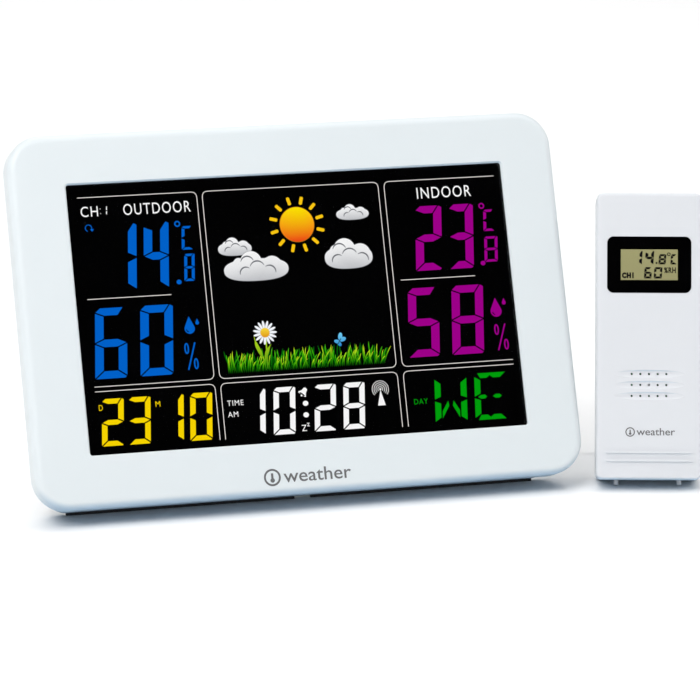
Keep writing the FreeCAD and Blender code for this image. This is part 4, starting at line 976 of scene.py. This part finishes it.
class WEATHER_OT_display_signs(bpy.types.Operator):
    """Draw the small signs: drops, percents, bell, aerial and repeat arrow"""

    bl_idname = "weather.display_signs"
    bl_label = "Display signs"

    def execute(self, context):
        art = Artwork()
        drop(art, (39.4, -51.8), 6.2, BLUE)
        drop(art, (42.3, -50.7), 2.2, BLUE)
        drop(art, (152.5, -52.3), 6.9, MAGENTA)
        drop(art, (155.7, -50.3), 2.4, MAGENTA)
        percent(art, (39.1, -62.8), 4.6, 9.6, BLUE)
        percent(art, (153.5, -63.1), 4.9, 9.5, MAGENTA)
        art.ribbon(arc((6.6, -15.4), 1.15, -20, 250, 18), 0.28, BLUE)
        art.polygon([(7.1, -15.8), (8.5, -15.8), (7.8, -16.7)], BLUE)
        self.bell(art)
        self.aerial(art)
        art.finish("display_signs", on_screen(), bpy.data.materials["Lit ink"], "console")
        return {"FINISHED"}

    def bell(self, art):
        """A tipped alarm bell with its clapper."""
        turn = Matrix.Rotation(math.radians(-38), 2)
        half = [(0.0, 1.7), (0.7, 1.4), (0.9, 0.2), (1.6, -0.9), (1.5, -1.2)]
        outline = half + [(-x, y) for x, y in reversed(half[1:])]
        place = Vector((78.3, -78.1))
        art.polygon([tuple(turn @ Vector(p) + place) for p in outline], WHITE)
        hollow = ellipse((0.0, -0.95), 1.15, 0.28, count=16)
        art.polygon([tuple(turn @ Vector(p) + place) for p in hollow], BLACK, layer=1)
        clapper = turn @ Vector((0.1, -1.5)) + place
        art.polygon(ellipse(clapper, 0.36, 0.36, count=12), WHITE, layer=2)

    def aerial(self, art):
        """A mast with rings of radio waves round its top."""
        top = (106.5, -79.0)
        for number in range(4):
            art.ribbon(arc(top, 0.9 + number * 0.7, -40, 220, 30), 0.2, WHITE)
        art.polygon([(106.5, -79.2), (107.9, -84.8), (105.1, -84.8)], WHITE, layer=1)
        art.polygon(ellipse(top, 0.4, 0.4, count=12), WHITE, layer=2)


def cloud(art, left, right, top, low, layer):
    """A rounded cloud with a grey rim, a lit top and curled inner folds."""
    wide, tall = right - left, top - low
    centre = (left + wide * 0.5, low + tall * 0.37)
    rim = 0.14
    body = (wide * 0.5 - rim, tall * 0.37 - rim)
    puffs = [(0.24, 0.6, 0.19), (0.43, 0.63, 0.36), (0.75, 0.46, 0.34)]
    discs = [(left + x * wide, low + y * tall, r * tall - rim) for x, y, r in puffs]
    edge = star_outline(centre, (body[0] + rim, body[1] + rim), [(x, y, r + rim) for x, y, r in discs])
    art.polygon(edge, linear(126, 128, 132), layer)
    fade = upright_fade(low, top, [(0.0, linear(190, 192, 196)), (0.35, linear(232, 233, 235)),
                                   (1.0, linear(253, 253, 253))])
    art.polygon(star_outline(centre, body, discs), fade, layer + 1)
    fold = linear(112, 114, 120)
    for x, y, radius, start, end in ((-0.28, 0.6, 0.22, 20, 165), (-0.345, 0.27, 0.2, 55, 190),
                                     (0.04, 0.4, 0.25, 25, 160), (0.43, 0.28, 0.21, -10, 125)):
        spot = (centre[0] + x * tall, low + y * tall)
        art.ribbon(arc(spot, radius * tall, start, end, 14), 0.2 + tall * 0.03, fold, layer + 2,
                   taper=lambda share: 0.35 + 2.6 * share * (1 - share))


class WEATHER_OT_sky_picture(bpy.types.Operator):
    """Draw the forecast picture's sun and clouds"""

    bl_idname = "weather.sky_picture"
    bl_label = "Sun and clouds"

    def execute(self, context):
        ink = bpy.data.materials["Lit ink"]
        centre = (82.0, -18.2)
        radius = 6.2
        art = Artwork()
        art.polygon(ellipse(centre, radius + 0.18, radius + 0.18, count=72), linear(196, 120, 20))
        fade = upright_fade(centre[1] - radius, centre[1] + radius,
                            [(0.0, linear(236, 66, 22)), (0.22, linear(248, 122, 20)),
                             (0.6, linear(255, 176, 20)), (1.0, linear(255, 232, 0))])
        art.polygon(ellipse(centre, radius, radius, count=72), fade, layer=1)
        art.finish("sun_disc", on_screen(), ink, "console")
        clouds = Artwork()
        for left, right, top, low, layer in ((52.3, 64.7, -21.4, -28.2, 0), (53.7, 77.4, -26.6, -37.6, 3),
                                             (90.9, 108.7, -23.9, -35.2, 0), (96.7, 108.9, -11.8, -17.7, 0)):
            cloud(clouds, left, right, top, low, layer)
        clouds.finish("clouds", on_screen(), ink, "console")
        ray = Artwork()
        ray.ribbon([(-1.45, 0), (-1.15, 0), (1.15, 0), (1.45, 0)], 1.2, linear(252, 200, 18),
                   taper=lambda share: 0.55 if share in (0.0, 1.0) else 1.0)
        shape = pattern_shape("ray", ray)
        data = grown_by(bpy.data.node_groups["Ring of copies"], "sun_rays",
                        {"Shape": shape, "Count": 12, "Radius": 8.75, "Material": ink})
        bpy.data.objects.remove(shape)
        data.transform(Matrix.Translation((*centre, 0)) @ Matrix.Rotation(math.radians(15), 4, "Z"))
        settle("sun_rays", data, on_screen(), ink, "console")
        return {"FINISHED"}


class WEATHER_OT_meadow_picture(bpy.types.Operator):
    """Draw the forecast picture's grass, flower and butterfly"""

    bl_idname = "weather.meadow_picture"
    bl_label = "Meadow"

    def execute(self, context):
        look = context.scene.weather_look
        ink = bpy.data.materials["Lit ink"]
        start, end, ground = 52.0, 108.8, -70.0
        rows = [("grass_dark", 8.6, 0.5, linear(0, 10, 0), linear(0, 76, 2), linear(10, 120, 10), 0),
                ("grass_green", 8.8, 0.46, linear(0, 16, 0), linear(4, 126, 4), linear(80, 200, 14), 1),
                ("grass_bright", 8.2, 0.34, linear(0, 30, 0), linear(56, 172, 4), linear(226, 246, 40), 2)]
        for name, tall, wide, dark, mild, bright, layer in rows:
            blade = Artwork()
            fade = upright_fade(0, tall, [(0.0, dark), (0.55, mild), (1.0, bright)])
            path = [(0.0, 0.0), (0.1, tall * 0.3), (0.3, tall * 0.6), (0.65, tall * 0.85), (1.0, tall)]
            blade.ribbon(path, wide, fade,
                         taper=lambda share: 0.5 + 2.2 * share * (1 - share) - 0.4 * share ** 3)
            shape = pattern_shape("blade", blade)
            data = grown_by(bpy.data.node_groups["Scattered along a line"], name, {
                "Shape": shape, "Count": look.blades, "Length": end - start, "Tilt": 0.42,
                "Smallest": 0.35, "Seed": look.seed + layer, "Material": ink})
            bpy.data.objects.remove(shape)
            data.transform(Matrix.Translation((start, ground, 0)))
            settle(name, data, on_screen(layer * 0.03), ink, "console")
        self.flower(ink)
        self.butterfly(ink)
        return {"FINISHED"}

    def flower(self, ink):
        """A daisy on a leafy stem."""
        centre = (66.4, -56.2)
        stem = Artwork()
        green = upright_fade(-69.5, -57.0, [(0.0, linear(24, 120, 14)), (1.0, linear(186, 226, 30))])
        stem.ribbon([(66.2, -69.0), (66.3, -65.0), (66.5, -60.0), (66.4, -57.0)], 0.5, green)
        for leaf in ([(65.5, -67.6), (64.2, -63.6), (62.8, -60.2), (62.3, -57.2)],
                     [(65.6, -67.2), (66.0, -64.2), (66.9, -62.2), (68.2, -60.4)]):
            stem.ribbon(rounded_path(leaf, 1.2), 1.3, green, layer=1,
                        taper=lambda share: 0.08 + 3.6 * share * (1 - share))
        stem.finish("daisy_stem", on_screen(0.1), ink, "console")
        petal = Artwork()
        fade = upright_fade(-1, 1, [(0.0, linear(232, 238, 250)), (1.0, linear(255, 255, 255))])
        petal.polygon(ellipse((0.0, 0.0), 1.5, 0.46, count=18), fade)
        shape = pattern_shape("petal", petal)
        data = grown_by(bpy.data.node_groups["Ring of copies"], "daisy_petals",
                        {"Shape": shape, "Count": 15, "Radius": 2.85, "Material": ink})
        bpy.data.objects.remove(shape)
        data.transform(Matrix.Translation((*centre, 0)))
        settle("daisy_petals", data, on_screen(0.15), ink, "console")
        eye = Artwork()
        radius = 1.7
        gold = upright_fade(centre[1] - radius, centre[1] + radius,
                            [(0.0, linear(226, 150, 20)), (1.0, linear(255, 222, 60))])
        eye.polygon(ellipse(centre, radius, radius, count=32), gold)
        eye.finish("daisy_eye", on_screen(0.18), ink, "console")

    def butterfly(self, ink):
        """A small blue butterfly, half side on."""
        art = Artwork()
        pale, deep = linear(120, 214, 248), linear(20, 130, 205)
        fade = upright_fade(-63.0, -57.5, [(0.0, deep), (1.0, pale)])
        for centre, across, up, turn in (((93.7, -59.2), 1.35, 0.75, 1.35), ((94.5, -60.3), 1.25, 0.75, 0.35),
                                         ((92.4, -61.0), 1.1, 0.65, -0.3), ((93.2, -61.9), 0.9, 0.6, -1.0)):
            art.polygon(ellipse(centre, across + 0.1, up + 0.1, turn, 20), linear(10, 66, 120))
            art.polygon(ellipse(centre, across, up, turn, 20), fade, layer=1)
        art.ribbon([(92.7, -61.9), (93.3, -60.8), (93.9, -60.0)], 0.28, linear(20, 30, 50), layer=2)
        art.finish("butterfly", on_screen(0.1), ink, "console")


# ---------------------------------------------------------------- the sensor's face

class WEATHER_OT_sensor_face(bpy.types.Operator):
    """Draw the sensor's small liquid crystal readout"""

    bl_idname = "weather.sensor_face"
    bl_label = "Sensor readout"

    def execute(self, context):
        art = Artwork()
        wide, tall = 21.0, 11.6
        half, up = wide / 2, tall / 2
        edge = 0.28
        art.polygon([(-half, -up), (half, -up), (half, up), (-half, up)], linear(166, 163, 120))
        fade = upright_fade(-up, up, [(0.0, linear(146, 143, 102)), (1.0, LCD_KHAKI)])
        art.polygon([(-half + edge, -up + edge), (half - edge, -up + edge), (half - edge, up - edge),
                     (-half + edge, up - edge)], fade, layer=1)
        ground = SENSOR.matrix(0, 0, -(SMALL_PANE / 2) + 0.03)
        art.finish("sensor_readout_ground", ground, bpy.data.materials["Readout film"], "sensor")
        signs = Artwork()
        for sign, left, right, low, high in (
                ("1", -5.2, -2.3, -0.2, 5.1), ("4", -1.7, 1.85, -0.2, 5.1), ("8", 3.2, 6.2, 0.1, 3.9),
                ("C", 7.5, 10.1, 0.1, 3.9), ("6", -2.0, 1.1, -5.0, -0.8), ("0", 1.5, 4.8, -5.0, -0.8)):
            bar = 1.15 if high > 4 else 0.95
            figure(signs, sign, left, right, low, high, (bar, bar * 0.92), LCD_DARK, gap=0.12, slope=4.0)
        signs.polygon(ellipse((2.6, 0.65), 0.36, 0.34, count=14), LCD_DARK)
        ring(signs, (7.0, 3.8), 0.5, 0.3, LCD_DARK)
        lettering(signs, "CH1", -9.8, -5.6, -4.9, -2.8, LCD_DARK, weight=0.08, spacing=1.2)
        lettering(signs, "%RH", 5.3, 9.5, -3.0, -0.9, LCD_DARK, weight=0.035, spacing=1.15)
        placing = SENSOR.matrix(0, 0, -(SMALL_PANE / 2) - 0.012)
        signs.finish("sensor_readout_signs", placing, bpy.data.materials["Readout film"], "sensor")
        return {"FINISHED"}


class WEATHER_OT_marks(bpy.types.Operator):
    """Print a plain sign and word on the console's lower edge and on the sensor"""

    bl_idname = "weather.marks"
    bl_label = "Printed marks"

    def execute(self, context):
        ink = bpy.data.materials["Printed ink and painted shade"]
        for name, placing, body, scale, slide, up in (("console_mark", on_face(), "console", 1.0, 0.0, 6.0),
                                               ("sensor_mark", on_sensor(), "sensor", 0.56, 2.2, 17.0)):
            art = Artwork(thick=0.03)
            self.sign(art, -16.0 * scale + slide, up, 2.7 * scale)
            lettering(art, "weather", -11.9 * scale + slide, 12.7 * scale + slide,
                      up - 2.1 * scale, up + 2.6 * scale, MARK_GREY, weight=0.006)
            art.finish(name, placing, ink, body)
        return {"FINISHED"}

    def sign(self, art, right, up, radius):
        """A plain ring with a short thermometer stroke in it."""
        art.ribbon(ellipse((right, up), radius, radius, count=40), radius * 0.26, MARK_GREY, closed=True)
        art.ribbon([(right, up - radius * 0.3), (right, up + radius * 0.55)], radius * 0.3, MARK_GREY)
        bulb = ellipse((right, up - radius * 0.38), radius * 0.3, radius * 0.3, count=16)
        art.polygon(bulb, MARK_GREY, layer=1)


# ---------------------------------------------------------------- back details

WIRE = 0.3 * MM                    # radius of the springs' wire
COIL = 3.2 * MM                    # radius of a spring's foot
COIL_TAPER = 0.18                  # how much narrower its top is
TURNS, TURN_STEPS = 5, 20
DUST = 50                          # a loose part with fewer corners than this is no spring


def coil(name, unit, node, body):
    """Real wound springs in place of a node's plain turns."""
    pieces = spring_centres(node, unit)
    data = bpy.data.curves.new(name, "CURVE")
    data.dimensions = "3D"
    data.bevel_depth = WIRE
    data.bevel_resolution = 2
    data.use_fill_caps = True
    for foot, top in pieces:
        count = TURNS * TURN_STEPS
        spline = data.splines.new("POLY")
        spline.points.add(count)
        rise = top - foot
        for step in range(count + 1):
            angle = 2 * math.pi * step / TURN_STEPS
            share = step / count
            reach = COIL * (1 - COIL_TAPER * share)
            way = unit.right * math.cos(angle) + unit.back * math.sin(angle)
            spot = foot + rise * share + way * reach
            spline.points[step].co = (*spot, 1)
    maker = bpy.data.objects.new(name, data)
    bpy.context.scene.collection.objects.link(maker)
    bpy.context.view_layer.update()
    mesh = bpy.data.meshes.new_from_object(maker.evaluated_get(bpy.context.evaluated_depsgraph_get()))
    bpy.data.objects.remove(maker)
    piece = settle(name, mesh, Matrix.Identity(4), bpy.data.materials["Nickel plating"], body)
    for face in piece.data.polygons:
        face.use_smooth = True
    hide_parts(node)


def spring_centres(node, unit):
    """The foot and top of each separate spring in a node, found from its loose parts."""
    solid = bmesh.new()
    solid.from_mesh(NODES[node].data)
    bmesh.ops.remove_doubles(solid, verts=solid.verts, dist=1e-7)
    ends = []
    left = set(solid.verts)
    while left:
        group, queue = set(), [left.pop()]
        while queue:
            vertex = queue.pop()
            group.add(vertex)
            for edge in vertex.link_edges:
                other = edge.other_vert(vertex)
                if other in left:
                    left.discard(other)
                    queue.append(other)
        if len(group) < DUST:
            continue
        spans = [[v.co.dot(axis) for v in group] for axis in (unit.right, unit.back, unit.up)]
        mids = [(min(span) + max(span)) / 2 for span in spans[:2]]
        flat = unit.right * mids[0] + unit.back * mids[1]
        ends.append((flat + unit.up * (min(spans[2]) + WIRE), flat + unit.up * (max(spans[2]) - WIRE)))
    solid.free()
    return sorted(ends, key=lambda pair: pair[0].dot(unit.right))


class WEATHER_OT_back_details(bpy.types.Operator):
    """Add the wound springs, the screws' crosses as painted shade and the small raised arrows on the back"""

    bl_idname = "weather.back_details"
    bl_label = "Back details"

    def execute(self, context):
        coil("battery_coils", CONSOLE, "battery_springs", "console")
        coil("sensor_battery_coils", SENSOR, "sensor_battery_springs", "sensor")
        ink = bpy.data.materials["Printed ink and painted shade"]
        raised = bpy.data.materials["Button plastic"]
        for name, unit, node, body in (("cover_screw_crosses", CONSOLE, "cover_screws", "console"),
                                       ("sensor_screw_crosses", SENSOR, "sensor_cover_screws", "sensor")):
            art = Artwork(thick=0.06)
            for spot, size in screw_heads(unit, node):
                for turn in (0.35, 0.35 + math.pi / 2):
                    way = Vector((math.cos(turn), math.sin(turn))) * size
                    # Painted shade: each screw's cross recess is drawn as a flat dark cross on its head.
                    art.ribbon([Vector(spot) - way, Vector(spot) + way], size * 0.32, linear(26, 26, 28))
            art.finish(name, back_placing(unit, rear_reach(unit, node) + 0.005), ink, body)
        above, sunk = 15.0, 0.02           # arrows over a door's middle, and set into its face
        for name, node, unit, size in (("door_arrow", "battery_door", CONSOLE, 3.0),
                                       ("sensor_door_arrow", "sensor_battery_door", SENSOR, 2.2)):
            art = Artwork(thick=0.25)
            spot = unit_place(unit, middle_of(node))
            up = spot.y + above
            art.polygon([(-spot.x - size, up), (-spot.x + size, up), (-spot.x, up + size * 1.3)], WHITE)
            art.finish(name, back_placing(unit, rear_reach(unit, node) - sunk), raised, node)
        art = Artwork(thick=0.2)
        for button, way in (("up_button", 1), ("down_button", -1)):
            spot = unit_place(CONSOLE, middle_of(button))
            up = spot.y + 7.0
            art.polygon([(-spot.x - 1.3, up - way), (-spot.x + 1.3, up - way), (-spot.x, up + way)], WHITE)
        rear = rear_reach(CONSOLE, "rear_cover")
        art.finish("button_arrows", back_placing(CONSOLE, rear - sunk), raised, "console")
        return {"FINISHED"}


def unit_place(unit, spot):
    """A place as millimetres right, up and back along a unit's axes, from its window."""
    gap = (spot - unit.centre) / MM
    return Vector((gap.dot(unit.right), gap.dot(unit.up), gap.dot(unit.back)))


def back_placing(unit, depth):
    """A drawing seen from behind: X to the viewer's right there, Z out of the back."""
    axes = Matrix((-unit.right * MM, unit.up * MM, unit.back * MM)).transposed()
    return Matrix.Translation(unit.centre + unit.back * depth * MM) @ axes.to_4x4()


def rear_reach(unit, node):
    """How far back a node reaches, in millimetres from its unit's window's middle."""
    return max(unit_place(unit, vertex.co).z for vertex in NODES[node].data.vertices)


SAME_LEVEL = 0.01                  # corners this close in depth lie on a screw head's top
HEAD_APART = 6                     # corners closer than this belong to one head
CROSS_SHARE = 0.55                 # of a head's radius, from its middle to a cross's tip


def screw_heads(unit, node):
    """Each screw head's middle, as seen from behind, and half the size of its cross."""
    rear = rear_reach(unit, node)
    groups = []
    for vertex in NODES[node].data.vertices:
        spot = unit_place(unit, vertex.co)
        if rear - spot.z < SAME_LEVEL:
            near = next((g for g in groups if (g[0] - spot).length < HEAD_APART), None)
            if near is None:
                groups.append([spot, [spot]])
            else:
                near[1].append(spot)
    heads = []
    for _, spots in groups:
        across = [s.x for s in spots]
        up = [s.y for s in spots]
        half = (max(across) - min(across)) / 2
        heads.append(((-(max(across) + min(across)) / 2, (max(up) + min(up)) / 2), half * CROSS_SHARE))
    return heads


# ---------------------------------------------------------------- studio

class WEATHER_OT_studio(bpy.types.Operator):
    """Set the pale floor, the soft lights and the camera"""

    bl_idname = "weather.studio"
    bl_label = "Studio"

    def execute(self, context):
        look, view = context.scene.weather_look, context.scene.weather_view
        self.floor()
        self.world(look.sky_light)
        base = (CAD_BOX[0] + CAD_BOX[1]) / 2
        base.z = CAD_BOX[0].z
        target = base + Vector((0, 0, 0.06))
        self.lamp("Key", target + Vector((-0.85, -0.8, 1.1)), target, 0.9, look.key_power)
        self.lamp("Side", target + Vector((1.35, -0.2, 0.9)), target, 0.7, look.fill_power)
        self.lamp("Back", target + Vector((0.2, 1.3, 1.1)), target, 0.8, look.fill_power)
        self.camera(context.scene, base + Vector(view.aim), view)
        context.scene.view_settings.view_transform = "Standard"
        context.scene.view_settings.look = "None"
        return {"FINISHED"}

    def floor(self):
        """A wide pale floor, faintly mottled."""
        data = bpy.data.meshes.new("floor")
        size = 6.0
        data.from_pydata([(-size, -size, 0), (size, -size, 0), (size, size, 0), (-size, size, 0)], [],
                         [(0, 1, 2, 3)])
        floor = bpy.data.objects.new("floor", data)
        bpy.context.scene.collection.objects.link(floor)
        material, shader = new_material("Pale floor")
        cloudy = noise_on(material, 3.0, 2.0)
        tone = ramp_of(material, cloudy.outputs["Fac"],
                       [(0.3, (0.95, 0.95, 0.95, 1)), (0.7, (0.97, 0.97, 0.97, 1))])
        link(material, tone.outputs["Color"], shader.inputs["Base Color"])
        shader.inputs["Roughness"].default_value = 0.9
        shader.inputs["Specular IOR Level"].default_value = 0.1
        data.materials.append(material)
        floor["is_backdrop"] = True

    def world(self, strength):
        """White light from above and below, with a dark band that the panes can mirror."""
        world = bpy.data.worlds.new("Studio air")
        world.use_nodes = True
        air = world.node_tree.nodes["Background"]
        place = add_node(world, "ShaderNodeTexCoord")
        parts = add_node(world, "ShaderNodeSeparateXYZ")
        link(world, place.outputs["Object"], parts.inputs["Vector"])
        height = [math.sin(math.radians(angle)) for angle in (4, 12, 44, 56)]
        white, dark = (1, 1, 1, 1), (0.006, 0.006, 0.007, 1)
        sky = ramp_of(world, parts.outputs["Z"], list(zip(height, (white, dark, dark, white))))
        link(world, sky.outputs["Color"], air.inputs["Color"])
        air.inputs["Strength"].default_value = strength
        bpy.context.scene.world = world

    def lamp(self, name, spot, target, size, power):
        """A large soft square light turned towards the object."""
        data = bpy.data.lights.new(name, "AREA")
        data.size = size
        data.energy = power
        lamp = bpy.data.objects.new(name, data)
        lamp.location = spot
        lamp.rotation_euler = (target - spot).to_track_quat("-Z", "Y").to_euler()
        bpy.context.scene.collection.objects.link(lamp)

    def camera(self, scene, aim, view):
        """A long lens, a little to the left and above."""
        data = bpy.data.cameras.new("Camera")
        data.lens = view.lens
        data.clip_end = 20.0
        camera = bpy.data.objects.new("Camera", data)
        level = math.cos(view.elevation)
        way = Vector((-math.sin(view.azimuth) * level, -math.cos(view.azimuth) * level,
                      math.sin(view.elevation)))
        camera.location = aim + way * view.distance
        camera.rotation_euler = (-way).to_track_quat("-Z", "Y").to_euler()
        bpy.context.scene.collection.objects.link(camera)
        scene.camera = camera


# ---------------------------------------------------------------- panel and registration

OPERATORS = (WEATHER_OT_cases, WEATHER_OT_insides, WEATHER_OT_display_lines, WEATHER_OT_display_figures,
             WEATHER_OT_display_words, WEATHER_OT_display_signs, WEATHER_OT_sky_picture,
             WEATHER_OT_meadow_picture, WEATHER_OT_sensor_face, WEATHER_OT_marks, WEATHER_OT_back_details,
             WEATHER_OT_studio)


class WEATHER_PT_panel(bpy.types.Panel):
    """The station's pieces, in the order that they are made"""

    bl_label = "Home weather station"
    bl_space_type = "VIEW_3D"
    bl_region_type = "UI"
    bl_category = "Weather"

    def draw(self, context):
        for settings in (context.scene.weather_look, context.scene.weather_view):
            for name in settings.__annotations__:
                self.layout.prop(settings, name)
        for operator in OPERATORS:
            self.layout.operator(operator.bl_idname)


CLASSES = (WeatherLook, WeatherView, *OPERATORS, WEATHER_PT_panel)


def register():
    """Register every class and the scene's settings."""
    for item in CLASSES:
        bpy.utils.register_class(item)
    bpy.types.Scene.weather_look = PointerProperty(type=WeatherLook)
    bpy.types.Scene.weather_view = PointerProperty(type=WeatherView)


def unregister():
    """Remove them again."""
    del bpy.types.Scene.weather_view
    del bpy.types.Scene.weather_look
    for item in reversed(CLASSES):
        bpy.utils.unregister_class(item)


def main():
    """Make every piece in order."""
    register()
    lit_ink("Lit ink", bpy.context.scene.weather_look.glow)
    printed_ink("Printed ink and painted shade")
    printed_ink("Readout film", 0.2)
    ring_tree()
    scatter_tree()
    for operator in OPERATORS:
        group, name = operator.bl_idname.split(".")
        getattr(getattr(bpy.ops, group), name)()
    [[list(corner) for corner in box] for box in (CAD_BOX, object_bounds())]


if __name__ == "__main__":
    main()
